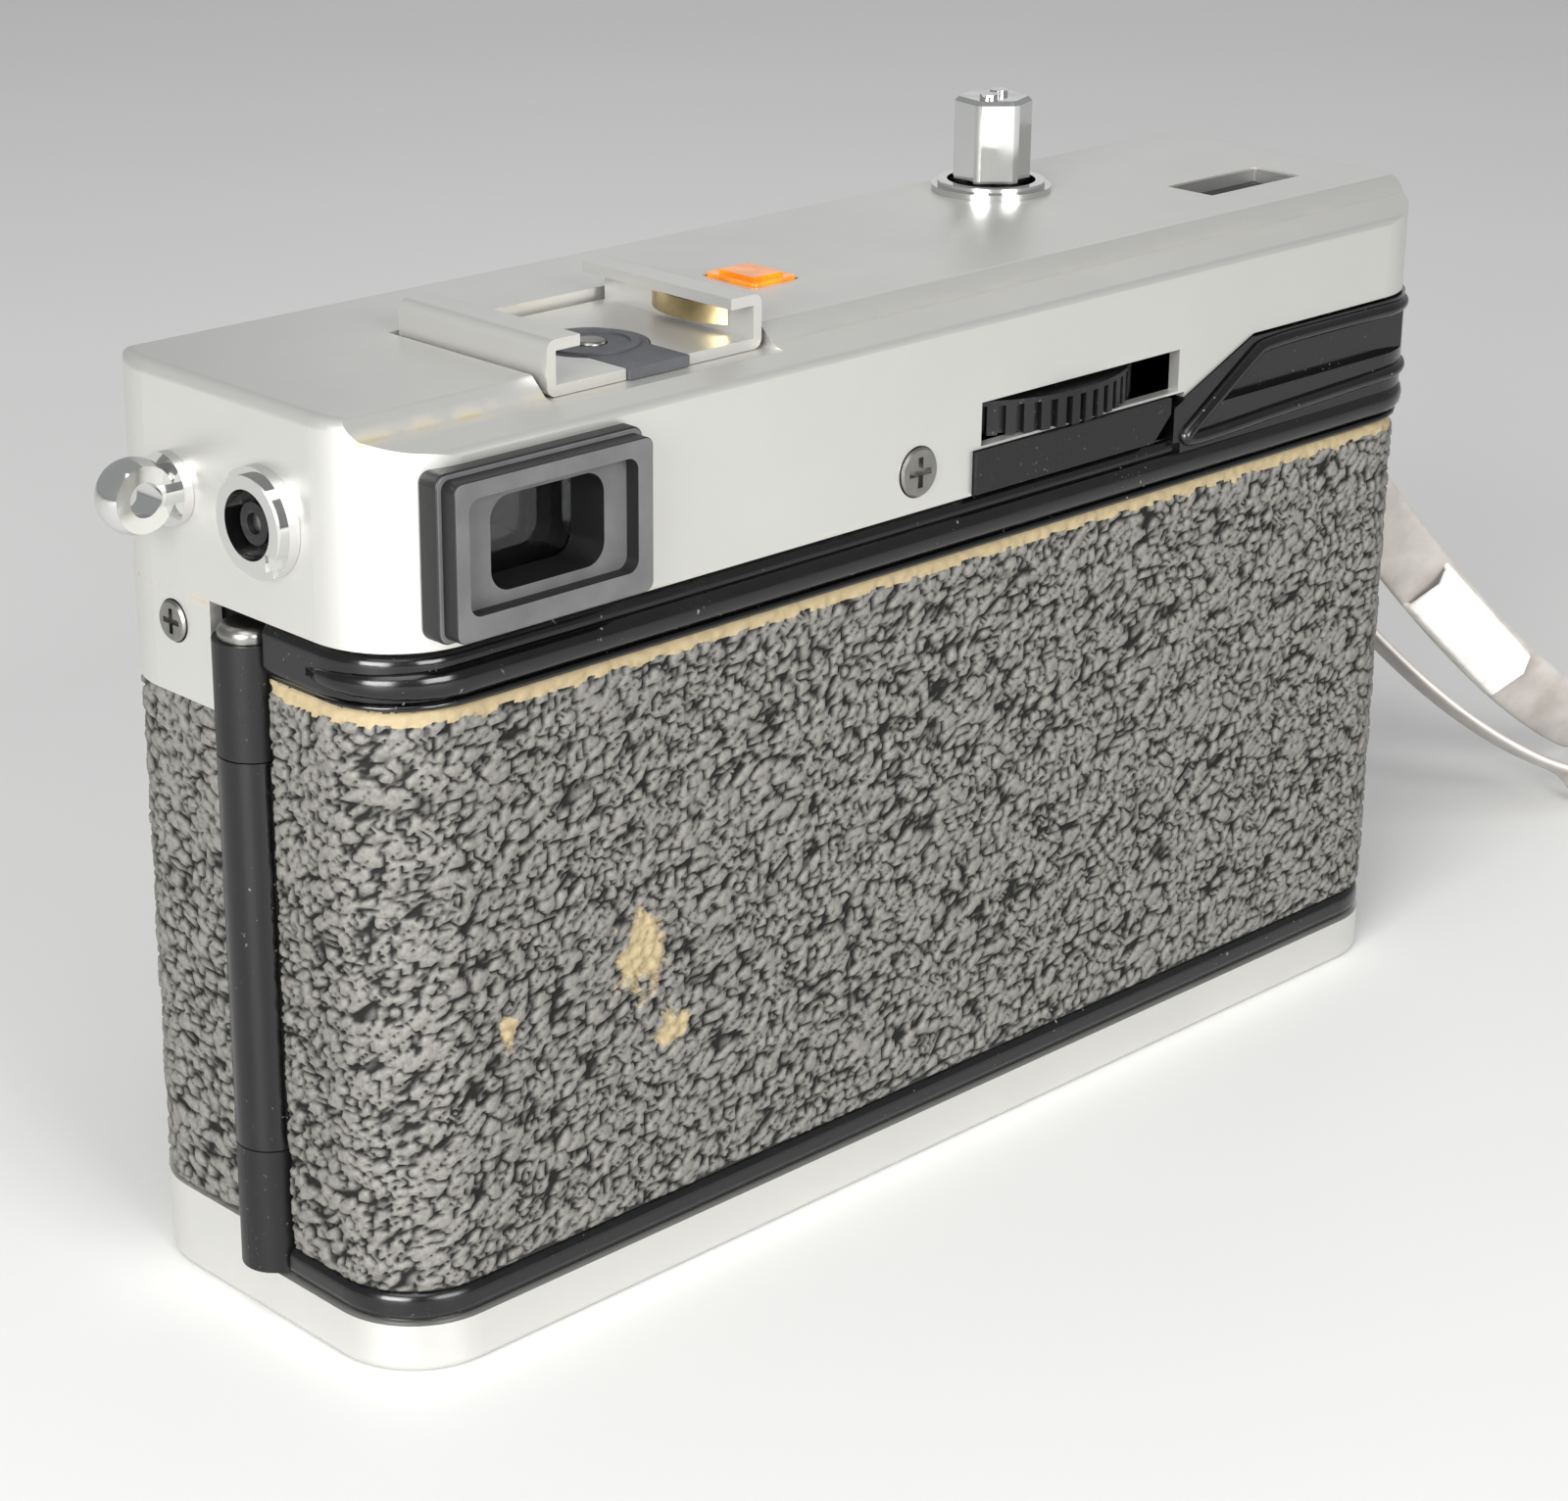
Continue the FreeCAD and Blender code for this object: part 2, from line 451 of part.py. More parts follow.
def accessory_shoe():
    """Folded sheet-metal shoe, open to the back, with a keyhole in its floor."""
    x0, x1 = SHOE_X - SHOE_W / 2, SHOE_X + SHOE_W / 2
    shoe = box(x0, x1, *SHOE_Y, *SHOE_Z)
    edges = [e for e in shoe.Edges if e.BoundBox.YLength > 1]
    shoe = shoe.makeFillet(0.75, edges)
    shoe = shoe.cut([box(x0 + SHOE_T, x1 - SHOE_T, SHOE_Y[0] - 1, SHOE_Y[1] + 1, SHOE_Z[0] + SHOE_T, SHOE_Z[1] - SHOE_T),
                     box(x0 + SHOE_LIP, x1 - SHOE_LIP, SHOE_Y[0] - 1, SHOE_Y[1] + 1, SHOE_Z[1] - 2, SHOE_Z[1] + 1),
                     rod(4.3, (SHOE_X, 5.6, SHOE_Z[0] - 1), (SHOE_X, 5.6, SHOE_Z[0] + SHOE_T + 0.2)),
                     box(SHOE_X - 2.9, SHOE_X + 2.9, 5.6, SHOE_Y[1] + 1, SHOE_Z[0] - 1, SHOE_Z[0] + SHOE_T + 0.2)])
    return shoe


def shoe_insulator():
    """Grey insulator in the keyhole of the shoe, with a raised ring."""
    z0 = SHOE_Z[0] + 0.02
    disc = rod(4.2, (SHOE_X, 5.6, z0), (SHOE_X, 5.6, z0 + 0.75))
    tail = box(SHOE_X - 2.8, SHOE_X + 2.8, 5.6, SHOE_Y[1] + 0.3, z0, z0 + 0.8)
    body = disc.fuse(tail).fuse(tube(3.6, 2.9, (SHOE_X, 5.6, z0), (SHOE_X, 5.6, z0 + 0.95)))
    return body.cut(rod(1.25, (SHOE_X, 5.6, z0 + 0.3), (SHOE_X, 5.6, z0 + 2)))


def shoe_contact():
    """Centre contact of the shoe."""
    pin = rod(1.15, (SHOE_X, 5.6, SHOE_Z[0] + 0.35), (SHOE_X, 5.6, SHOE_Z[0] + 1.05))
    return pin.makeFillet(0.25, [e for e in pin.Edges if e.BoundBox.ZMin > SHOE_Z[0] + 1])


def shoe_spring():
    """Bowed leaf that holds an accessory foot in the shoe."""
    x = SHOE_X - SHOE_W / 2 + SHOE_T
    z = SHOE_Z[0] + SHOE_T + 0.5
    outer = Part.Arc(V(x + 0.05, 2.0, z), V(x + 1.3, 6.0, z), V(x + 0.05, 10.0, z))
    inner = Part.Arc(V(x + 0.05, 9.6, z), V(x + 1.05, 6.0, z), V(x + 0.05, 2.4, z))
    ends = [Part.LineSegment(outer.EndPoint, inner.StartPoint), Part.LineSegment(inner.EndPoint, outer.StartPoint)]
    wire = Part.Wire([outer.toShape(), ends[0].toShape(), inner.toShape(), ends[1].toShape()])
    return Part.Face(wire).extrude(V(0, 0, 1.5))


def lamp_window():
    """Amber window in the deck, with a raised centre."""
    lens = box(LAMP[0] - 2.3, LAMP[0] + 2.3, LAMP[1] - 2.7, LAMP[1] + 2.7, 68.9, HEIGHT + 0.25)
    lens = lens.makeFillet(0.5, [e for e in lens.Edges if e.BoundBox.ZLength > 1])
    dome = box(LAMP[0] - 1.5, LAMP[0] + 1.5, LAMP[1] - 1.9, LAMP[1] + 1.9, HEIGHT, HEIGHT + 0.5)
    return lens.fuse(dome)


def counter_window():
    """Clear cover of the frame counter."""
    w, d = COUNTER_SIZE[0] / 2 - 0.05, COUNTER_SIZE[1] / 2 - 0.05
    return box(COUNTER[0] - w, COUNTER[0] + w, COUNTER[1] - d, COUNTER[1] + d, 69.1, HEIGHT - 0.15)


def counter_dial():
    """Frame-counter disc on its spindle, notched once for each frame."""
    centre = (COUNTER[0], DIAL_Y)
    disc = rod(DIAL_R, (*centre, 67.2), (*centre, 67.9)).fuse(rod(1.0, (*centre, 54.4), (*centre, 67.3)))
    for i in range(36):
        a = 2 * math.pi * i / 36
        notch_x = centre[0] + (DIAL_R - 0.1) * math.cos(a)
        notch_y = centre[1] + (DIAL_R - 0.1) * math.sin(a)
        disc = disc.cut(rod(0.3, (notch_x, notch_y, 67.6), (notch_x, notch_y, 68.0)))
    return disc


def counter_index():
    """Orange index beside the counter dial."""
    return box(COUNTER[0] + 1.6, COUNTER[0] + 5.6, COUNTER[1] - 0.4, COUNTER[1] + 1.9, 68.15, 68.6)


def release_collar():
    """Deep chrome cup that guides the shutter release."""
    c = RELEASE
    cup = rod(4.05, (*c, 66.2), (*c, HEIGHT + 0.02)).fuse(rod(5.0, (*c, HEIGHT + 0.02), (*c, HEIGHT + 0.5)))
    cup = cup.fuse(rod(4.5, (*c, HEIGHT + 0.5), (*c, HEIGHT + 0.9)))
    return cup.cut([rod(3.7, (*c, 67.0), (*c, 72)), rod(1.5 + RUN, (*c, 66), (*c, 68))])


def release_button():
    """Six-sided chrome release post, its stem and the spring washer on it."""
    c = V(*RELEASE, 0)
    corners = [c + V(3.35 * math.cos(a), 3.35 * math.sin(a), 69.6)
               for a in (math.radians(20 + 60 * i) for i in range(6))]
    post = Part.Face(Part.makePolygon(corners + corners[:1])).extrude(V(0, 0, RELEASE_TOP - 69.6))
    post = post.common(rod(3.2, (*RELEASE, 69), (*RELEASE, 80)))
    post = post.makeChamfer(0.35, [e for e in post.Edges if e.BoundBox.ZMin > RELEASE_TOP - 0.01])
    bumps = [rod(0.75, (RELEASE[0] + s * 1.05, RELEASE[1] + s * 0.4, RELEASE_TOP - 0.2),
                 (RELEASE[0] + s * 1.05, RELEASE[1] + s * 0.4, RELEASE_TOP + 0.35)) for s in (-1, 1)]
    stem = rod(1.5, (*RELEASE, 56.4), (*RELEASE, 70))
    washer = rod(2.9, (*RELEASE, 65.3), (*RELEASE, 65.8))
    return post.fuse(bumps + [stem, washer])


def release_spring():
    """Coil spring under the release, as five closed coils."""
    coils = [Part.makeTorus(2.3, 0.3, V(*RELEASE, CHASSIS_TOP + 0.35 + 2.6 * i)) for i in range(5)]
    return Part.makeCompound(coils)


def thumbwheel():
    """Ribbed film-advance wheel on its hub."""
    x, y = WHEEL
    z0, z1 = WHEEL_Z
    wheel = rod(WHEEL_R, (x, y, z0), (x, y, z1)).fuse(rod(2.5, (x, y, CHASSIS_TOP + 0.1), (x, y, z1)))
    count = 64
    cuts = []
    for i in range(count):
        a = 2 * math.pi * i / count
        groove = box(WHEEL_R - 0.55, WHEEL_R + 1, -0.33, 0.33, z0 - 1, z1 - 0.4)
        groove.rotate(V(0, 0, 0), V(0, 0, 1), math.degrees(a))
        groove.translate(V(x, y, 0))
        cuts.append(groove)
    return wheel.cut(Part.makeCompound(cuts))


def wheel_shield():
    """Dark plate below the thumbwheel slot."""
    pts = [(SHIELD_X[1], HY - 0.95, 54.6), (SHIELD_X[1], HY - 0.95, 57.9), (-22.0, HY - 0.95, 57.9),
           (-22.0, HY - 0.95, 56.6), (-20.0, HY - 0.95, 54.6)]
    return outline(pts, (0, 1.35, 0))


def strap_lug(sign):
    """Ball-ended strap eyelet; sign is +1 for the flash-socket end."""
    at = lambda x, dy=0, dz=0: (sign * (HX + x), LUG_Y + dy, LUG_Z + dz)
    ball = Part.makeSphere(2.7, V(*at(LUG_EYE))).common(
        box(-200, 200, LUG_Y - 1.3, LUG_Y + 1.3, LUG_Z - 5, LUG_Z + 5))
    flange = rod(2.6, at(0.02), at(0.8))
    stem = rod(1.5, at(-1.6), at(LUG_EYE))
    return ball.fuse([flange, stem]).cut(rod(EYE_R, at(LUG_EYE, -4), at(LUG_EYE, 4)))


def flash_socket():
    """Chrome shell of the flash-cord socket, with its locating notch."""
    at = lambda x, dz=0: (HX + x, SOCKET_Y, LUG_Z + dz)
    shell = rod(3.9, at(0.02), at(0.9)).fuse(rod(3.4, at(0.9), at(1.5))).fuse(rod(2.9, at(-2.5), at(0.1)))
    shell = shell.cut(rod(2.45, at(-1.9), at(3)))
    return shell.cut(box(HX + 0.7, HX + 2, SOCKET_Y + 1.9, SOCKET_Y + 2.9, LUG_Z - 3.6, LUG_Z - 1.6))


def flash_insulator():
    """Insulating disc and contact ring of the flash socket."""
    at = lambda x: (HX + x, SOCKET_Y, LUG_Z)
    return tube(2.4, 0.75, at(-1.85), at(-1.0)).fuse(tube(1.5, 0.75, at(-1.0), at(0.9)))


def flash_pin():
    """Centre contact of the flash socket."""
    return rod(0.7, (HX - 1.85, SOCKET_Y, LUG_Z), (HX + 0.5, SOCKET_Y, LUG_Z))


# ---- lens --------------------------------------------------------------------------------
def lens_base():
    """Flange of the lens on the body front."""
    base = lens_ring(22.0, BARREL_R + RUN, -18.4, -HY + 0.62)
    return base


def exposure_ring():
    """Aperture ring with a fine knurl."""
    ring = lens_ring(21.6, BARREL_R + RUN, -23.2, -18.5)
    return knurl(ring, 21.9, 72, 0.55, -23.5, -21.2)


def focus_ring():
    """Zone-focus ring with a finger tab."""
    ring = lens_ring(21.2, BARREL_R + RUN, -30.0, -23.3)
    ring = knurl(ring, 21.5, 48, 0.8, -28.8, -25.2)
    tab = box(LENS_X - 2.2, LENS_X + 2.2, -25.0, -23.4, LENS_Z - 24.0, LENS_Z - 20.5)
    return ring.fuse(tab)


def speed_ring():
    """Film-speed ring behind the bezel."""
    ring = lens_ring(20.9, BARREL_R + RUN, -36.4, -30.1)
    return knurl(ring, 21.2, 60, 0.6, -36.6, -34.4)


def lens_barrel():
    """Fixed inner barrel that carries the glasses, the shutter and the rings."""
    return lens_ring(BARREL_R, 14.0, -36.45, -9.0)


def lens_bezel():
    """Front ring with the filter thread, the meter eye and the dished black face."""
    bezel = lens_ring(21.0, 9.6, LENS_FRONT_Y, -36.5)
    bezel = bezel.cut(rod(FILTER_R, (LENS_X, LENS_FRONT_Y - 1, LENS_Z), (LENS_X, FILTER_SEAT_Y, LENS_Z)))
    dish = Part.makeCone(FILTER_R - 1.0, 12.0, 0.6, V(LENS_X, FILTER_SEAT_Y - 0.02, LENS_Z), V(0, 1, 0))
    eye = (LENS_X, LENS_Z + 14.4)
    return bezel.cut([dish, rod(2.1, (eye[0], -40, eye[1]), (eye[0], -36, eye[1]))])


def meter_eye():
    """Light-meter window in the bezel."""
    z = LENS_Z + 14.4
    return rod(2.05, (LENS_X, FILTER_SEAT_Y + 0.1, z), (LENS_X, -36.55, z))


def front_glass():
    """Front element, domed."""
    glass = rod(9.5, (LENS_X, FILTER_SEAT_Y, LENS_Z), (LENS_X, -34.0, LENS_Z))
    return glass.common(Part.makeSphere(24.0, V(LENS_X, FILTER_SEAT_Y + 24.0, LENS_Z)))


def rear_glass():
    """Rear element in the barrel."""
    glass = rod(8.0, (LENS_X, -14.5, LENS_Z), (LENS_X, -11.0, LENS_Z))
    return glass.common(Part.makeSphere(20.0, V(LENS_X, -11.0 - 20.0, LENS_Z)))


def lens_cells():
    """Black cells that hold the front and rear glasses in the barrel."""
    return Part.makeCompound([lens_ring(13.95, 9.55, -36.4, -33.0), lens_ring(13.95, 8.05, -15.5, -11.5)])


def shutter_plate():
    """Shutter mounting plate."""
    return lens_ring(13.95, 6.5, -26.0, -24.0)


def shutter_blades():
    """Five closed leaves of the shutter."""
    leaves = []
    for i in range(5):
        a0 = 2 * math.pi * i / 5
        pts = [V(LENS_X + r * math.cos(a0 + t), -26.3 - 0.2 * i, LENS_Z + r * math.sin(a0 + t))
               for r, t in ((1.2, 3.4), (7.5, -0.75), (11.0, -0.35), (11.0, 0.35), (7.5, 0.75))]
        leaves.append(Part.Face(Part.makePolygon(pts + pts[:1])).extrude(V(0, 0.12, 0)))
    return Part.makeCompound(leaves)


# ---- film transport and base -------------------------------------------------------------
def take_up_spool():
    """Slotted take-up spool."""
    z0, z1 = CHAMBER_Z[0] + 0.2, CHAMBER_Z[1] - 0.2
    at = lambda z: (SPOOL_X, 0, z)
    spool = rod(6.5, at(z0), at(z1)).fuse([rod(9.8, at(z0), at(z0 + 1.2)), rod(9.8, at(z1 - 1.2), at(z1)),
                                          rod(1.5, at(z1 - 1), at(CHASSIS_TOP + 1.2))])
    for i in range(3):
        slot = box(4.5, 7.5, -0.5, 0.5, z0 + 6, z1 - 6)
        slot.rotate(V(0, 0, 0), V(0, 0, 1), 120 * i)
        slot.translate(V(SPOOL_X, 0, 0))
        spool = spool.cut(slot)
    return spool


def sprocket():
    """Eight-tooth film sprocket on its shaft."""
    at = lambda z: (SPROCKET_X, SPROCKET_Y, z)
    shaft = rod(1.5, at(4.8), at(CHASSIS_TOP + 1.2))
    shaft = shaft.fuse(rod(3.4, at(CHAMBER_Z[0] + 0.4), at(CHAMBER_Z[1] - 0.4)))
    parts = [shaft]
    for z in (LENS_Z - 14.2, LENS_Z + 14.2):
        parts.append(rod(SPROCKET_R - 0.1, at(z - 2.4), at(z + 2.4)))
        for i in range(8):
            tooth = box(SPROCKET_R - 0.5, SPROCKET_R + 0.9, -0.6, 0.6, z - 0.9, z + 0.9)
            tooth.rotate(V(0, 0, 0), V(0, 0, 1), 45 * i + 10)
            tooth.translate(V(SPROCKET_X, SPROCKET_Y, 0))
            parts.append(tooth)
    return parts[0].fuse(parts[1:])


def rewind_fork():
    """Rewind shaft with the fork that drives the cartridge."""
    at = lambda z: (CARTRIDGE_X, CARTRIDGE_Y, z)
    shaft = rod(2.0, at(3.5), at(8.0)).fuse(rod(3.6, at(CHAMBER_Z[0] + 0.2), at(7.2)))
    blades = [box(CARTRIDGE_X + s * 1.9 - 0.6, CARTRIDGE_X + s * 1.9 + 0.6, CARTRIDGE_Y - 1.3, CARTRIDGE_Y + 1.3,
                  7.0, 11.5) for s in (-1, 1)]
    return shaft.fuse(blades)


CRANK_PIVOT_X = CARTRIDGE_X - 5.4
CRANK_Z = 0.75


def rewind_knob():
    """Rewind disc let into the base, with a bay for the folding crank."""
    at = lambda z: (CARTRIDGE_X, CARTRIDGE_Y, z)
    knob = rod(REWIND_R, at(0.3), at(3.45))
    bay = box(CARTRIDGE_X - 6.4, CARTRIDGE_X + 6.6, CARTRIDGE_Y - 1.9, CARTRIDGE_Y + 1.9, -1, 1.3)
    pocket = rod(1.9, (CARTRIDGE_X + 4.4, CARTRIDGE_Y, 0), (CARTRIDGE_X + 4.4, CARTRIDGE_Y, 2.9))
    pin_hole = rod(0.35, (CRANK_PIVOT_X, CARTRIDGE_Y - 3.2, CRANK_Z), (CRANK_PIVOT_X, CARTRIDGE_Y + 3.2, CRANK_Z))
    return knob.cut([bay, pocket, pin_hole])


def rewind_crank():
    """Fold-out crank with its finger stud."""
    bar = box(CRANK_PIVOT_X, CARTRIDGE_X + 6.0, CARTRIDGE_Y - 1.7, CARTRIDGE_Y + 1.7, 0.35, 1.15)
    eye = rod(0.4, (CRANK_PIVOT_X, CARTRIDGE_Y - 1.7, CRANK_Z), (CRANK_PIVOT_X, CARTRIDGE_Y + 1.7, CRANK_Z))
    axle = rod(0.3, (CRANK_PIVOT_X, CARTRIDGE_Y - 3.0, CRANK_Z), (CRANK_PIVOT_X, CARTRIDGE_Y + 3.0, CRANK_Z))
    stud = rod(1.4, (CARTRIDGE_X + 4.4, CARTRIDGE_Y, 1.0), (CARTRIDGE_X + 4.4, CARTRIDGE_Y, 2.6))
    return bar.fuse([eye, axle, stud])


def rewind_release():
    """Button in the base that frees the sprocket for rewinding."""
    at = lambda z: (SPROCKET_X, SPROCKET_Y, z)
    return rod(2.0, at(0.45), at(2.6)).fuse(rod(1.4, at(2.5), at(3.5)))


def tripod_socket():
    """Flanged tripod bush, tapped 1/4 inch."""
    bush = rod(4.5, (0, 0, 0.0), (0, 0, 8.5))
    return bush.cut(rod(TRIPOD_R, (0, 0, -1), (0, 0, TRIPOD_DEPTH)))


def battery_cover():
    """Screw-in battery cover with a coin slot."""
    cover = rod(6.0, (*BATTERY, 0.15), (*BATTERY, 3.4))
    return cover.cut(box(BATTERY[0] - 4.6, BATTERY[0] + 4.6, BATTERY[1] - 0.7, BATTERY[1] + 0.7, -1, 1.0))


def battery():
    """Button cell above its cover."""
    return rod(5.8, (*BATTERY, 3.6), (*BATTERY, 8.0))


# ---- wrist strap -------------------------------------------------------------------------
def strap_ring():
    """Wire ring that joins the strap to the eyelet."""
    x = -(HX + LUG_EYE)
    top, low, half, r = LUG_Z - 0.45, 53.9, 4.4, 1.8
    k = r * (1 - math.sqrt(0.5))
    y0, y1 = LUG_Y - half, LUG_Y + half
    arcs = [(V(x, y1, top - r), V(x, y1 - k, top - k), V(x, y1 - r, top)),
            (V(x, y0 + r, top), V(x, y0 + k, top - k), V(x, y0, top - r)),
            (V(x, y0, low + r), V(x, y0 + k, low + k), V(x, y0 + r, low)),
            (V(x, y1 - r, low), V(x, y1 - k, low + k), V(x, y1, low + r))]
    edges = []
    for i, arc in enumerate(arcs):
        edges.append(Part.Arc(*arc).toShape())
        edges.append(Part.LineSegment(arc[2], arcs[(i + 1) % 4][0]).toShape())
    path = Part.Wire(edges)
    profile = Part.Wire(Part.makeCircle(0.5, V(x, y1, top - r), V(0, 0, 1)))
    return path.makePipeShell([profile], True, False)


def band_path():
    """Route of the band as straight runs joined by tangent arcs."""
    pts = [V(*p) for p in BAND_ROUTE]
    edges, here = [], pts[0]
    radii = []
    for a, b, c in zip(pts, pts[1:], pts[2:]):
        run_in, run_out = a - b, c - b
        reach = 0.45 * min(run_in.Length, run_out.Length)
        half = (math.pi - run_in.getAngle(run_out)) / 2
        radii.append(reach / math.tan(half))
        start = b + run_in.normalize() * reach
        end = b + run_out.normalize() * reach
        bisector = (run_in + run_out).normalize()
        middle = b + bisector * (radii[-1] / math.cos(half) - radii[-1])
        edges += [Part.LineSegment(here, start).toShape(), Part.Arc(start, middle, end).toShape()]
        here = end
    edges.append(Part.LineSegment(here, pts[-1]).toShape())
    print("band radii mm:", [round(r, 1) for r in radii], "length mm:", round(sum(e.Length for e in edges), 1))
    return Part.Wire(edges)


def strap_band():
    """Core of the band along its route."""
    path = band_path()
    start = V(*BAND_ROUTE[0])
    profile = Part.Wire(Part.makeCircle(BAND_CORE_R, start, V(*BAND_ROUTE[1]) - start))
    solid = path.makePipeShell([profile], True, False)
    print("band volume ratio:", round(solid.Volume / (math.pi * BAND_CORE_R ** 2 * path.Length), 4))
    return solid


def strap_sleeve():
    """Keeper sleeve on the outgoing run of the band."""
    a, b = V(*BAND_ROUTE[1]), V(*BAND_ROUTE[2])
    along = (b - a).normalize()
    centre = a + along * 17.5
    sleeve = box(-8.5, 8.5, -4.2, 4.2, -1.9, 1.9)
    sleeve = sleeve.makeFillet(1.2, [e for e in sleeve.Edges if e.BoundBox.XLength > 10])
    sleeve = sleeve.cut(rod(BAND_CORE_R + 0.1, (-10, 0, 0), (10, 0, 0)))
    sleeve.Placement = FreeCAD.Placement(centre, FreeCAD.Rotation(V(1, 0, 0), along))
    return sleeve


PIECES = {
    "top_cover": top_cover, "bottom_plate": bottom_plate, "chassis": chassis, "front_leather": front_leather,
    "back_door": back_door, "door_leather": door_leather, "hinge_knuckles": hinge_knuckles,
    "hinge_pin": hinge_pin, "pressure_plate": pressure_plate, "pressure_springs": pressure_springs,
    "door_latch": door_latch, "finder_frame": finder_frame, "eyepiece_lens": eyepiece_lens,
    "finder_tube": finder_tube, "finder_window": finder_window, "finder_bezel": finder_bezel,
    "accessory_shoe": accessory_shoe, "shoe_insulator": shoe_insulator, "shoe_contact": shoe_contact,
    "shoe_spring": shoe_spring, "lamp_window": lamp_window, "counter_window": counter_window,
    "counter_dial": counter_dial, "counter_index": counter_index, "release_collar": release_collar,
    "release_button": release_button, "release_spring": release_spring, "thumbwheel": thumbwheel,
    "wheel_shield": wheel_shield, "left_lug": lambda: strap_lug(1), "right_lug": lambda: strap_lug(-1),
    "flash_socket": flash_socket, "flash_insulator": flash_insulator, "flash_pin": flash_pin,
    "lens_base": lens_base, "exposure_ring": exposure_ring, "focus_ring": focus_ring,
    "speed_ring": speed_ring, "lens_barrel": lens_barrel, "lens_bezel": lens_bezel, "meter_eye": meter_eye,
    "front_glass": front_glass, "rear_glass": rear_glass, "lens_cells": lens_cells,
    "shutter_plate": shutter_plate, "shutter_blades": shutter_blades, "take_up_spool": take_up_spool,
    "sprocket": sprocket, "rewind_fork": rewind_fork, "rewind_knob": rewind_knob,
    "rewind_crank": rewind_crank, "rewind_release": rewind_release, "tripod_socket": tripod_socket,
    "battery_cover": battery_cover, "battery": battery,
    "cover_screws": lambda: Part.makeCompound([screw(*s) for s in [BACK_SCREW] + END_SCREWS]),
    "base_screws": lambda: Part.makeCompound([screw(*s) for s in BASE_SCREWS]),
    "strap_ring": strap_ring, "strap_band": strap_band, "strap_sleeve": strap_sleeve,
}


def main():
    os.makedirs("parts", exist_ok=True)
    for name, make in PIECES.items():
        shape = make()
        if not shape.isValid() or not shape.Solids:
            print("check", name, shape.isValid(), len(shape.Solids))
        shape.exportStep("parts/" + name + ".step")
        print(name, len(shape.Solids), round(shape.Volume, 1))


main()
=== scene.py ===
"""Looks of a compact 35 mm viewfinder camera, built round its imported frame.

Laid out as an add-on: property groups hold the sizes and colours, one operator makes each piece or
group of like pieces, and main() runs them in order.  All lengths named *_MM are millimetres.
"""
import math

import bmesh
import bpy
from mathutils import Matrix, Quaternion, Vector, noise


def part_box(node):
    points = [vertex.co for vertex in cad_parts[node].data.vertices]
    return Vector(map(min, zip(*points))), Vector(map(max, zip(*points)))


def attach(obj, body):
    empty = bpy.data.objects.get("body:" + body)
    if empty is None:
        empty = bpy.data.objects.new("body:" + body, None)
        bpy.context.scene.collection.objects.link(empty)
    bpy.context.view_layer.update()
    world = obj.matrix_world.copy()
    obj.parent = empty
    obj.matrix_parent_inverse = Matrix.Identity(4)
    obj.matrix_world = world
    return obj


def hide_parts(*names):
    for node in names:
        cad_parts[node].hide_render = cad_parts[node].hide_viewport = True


bl_info = {
    "name": "Compact viewfinder camera",
    "version": (1, 0, 0),
    "blender": (4, 5, 0),
    "location": "View3D > Sidebar > Compact camera",
    "description": "Leatherette, wrist band, finishes and studio for a compact 35 mm camera",
    "category": "Object",
}

MM = 0.001
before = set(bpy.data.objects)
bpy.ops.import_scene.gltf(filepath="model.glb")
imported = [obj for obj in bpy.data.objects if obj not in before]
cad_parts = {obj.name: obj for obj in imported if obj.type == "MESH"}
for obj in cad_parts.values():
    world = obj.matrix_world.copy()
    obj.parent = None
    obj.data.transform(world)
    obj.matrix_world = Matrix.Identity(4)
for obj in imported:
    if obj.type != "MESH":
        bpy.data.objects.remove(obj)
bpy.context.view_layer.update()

# Outline of the body in plan, taken from the covers.
COVER_LOW, COVER_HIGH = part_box("top_cover")
HALF_LENGTH = COVER_HIGH.x
HALF_DEPTH = COVER_HIGH.y
CORNER_R = 7.0 * MM
DECK_Z = COVER_HIGH.z
DOOR_LOW, DOOR_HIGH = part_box("door_leather")
FRONT_LOW, FRONT_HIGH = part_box("front_leather")
LENS_LOW, LENS_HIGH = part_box("lens_base")
LENS_X = (LENS_LOW.x + LENS_HIGH.x) / 2
LENS_Z = (LENS_LOW.z + LENS_HIGH.z) / 2


def linear(code):
    """Linear RGBA of an sRGB hex code."""
    parts = [int(code[i:i + 2], 16) / 255 for i in (1, 3, 5)]
    return tuple(c / 12.92 if c <= 0.04045 else ((c + 0.055) / 1.055) ** 2.4 for c in parts) + (1.0,)


def hue(label, code, words):
    """Colour property whose default is an sRGB hex code."""
    return bpy.props.FloatVectorProperty(name=label, description=words, subtype="COLOR", size=4,
                                         min=0.0, max=1.0, default=linear(code))


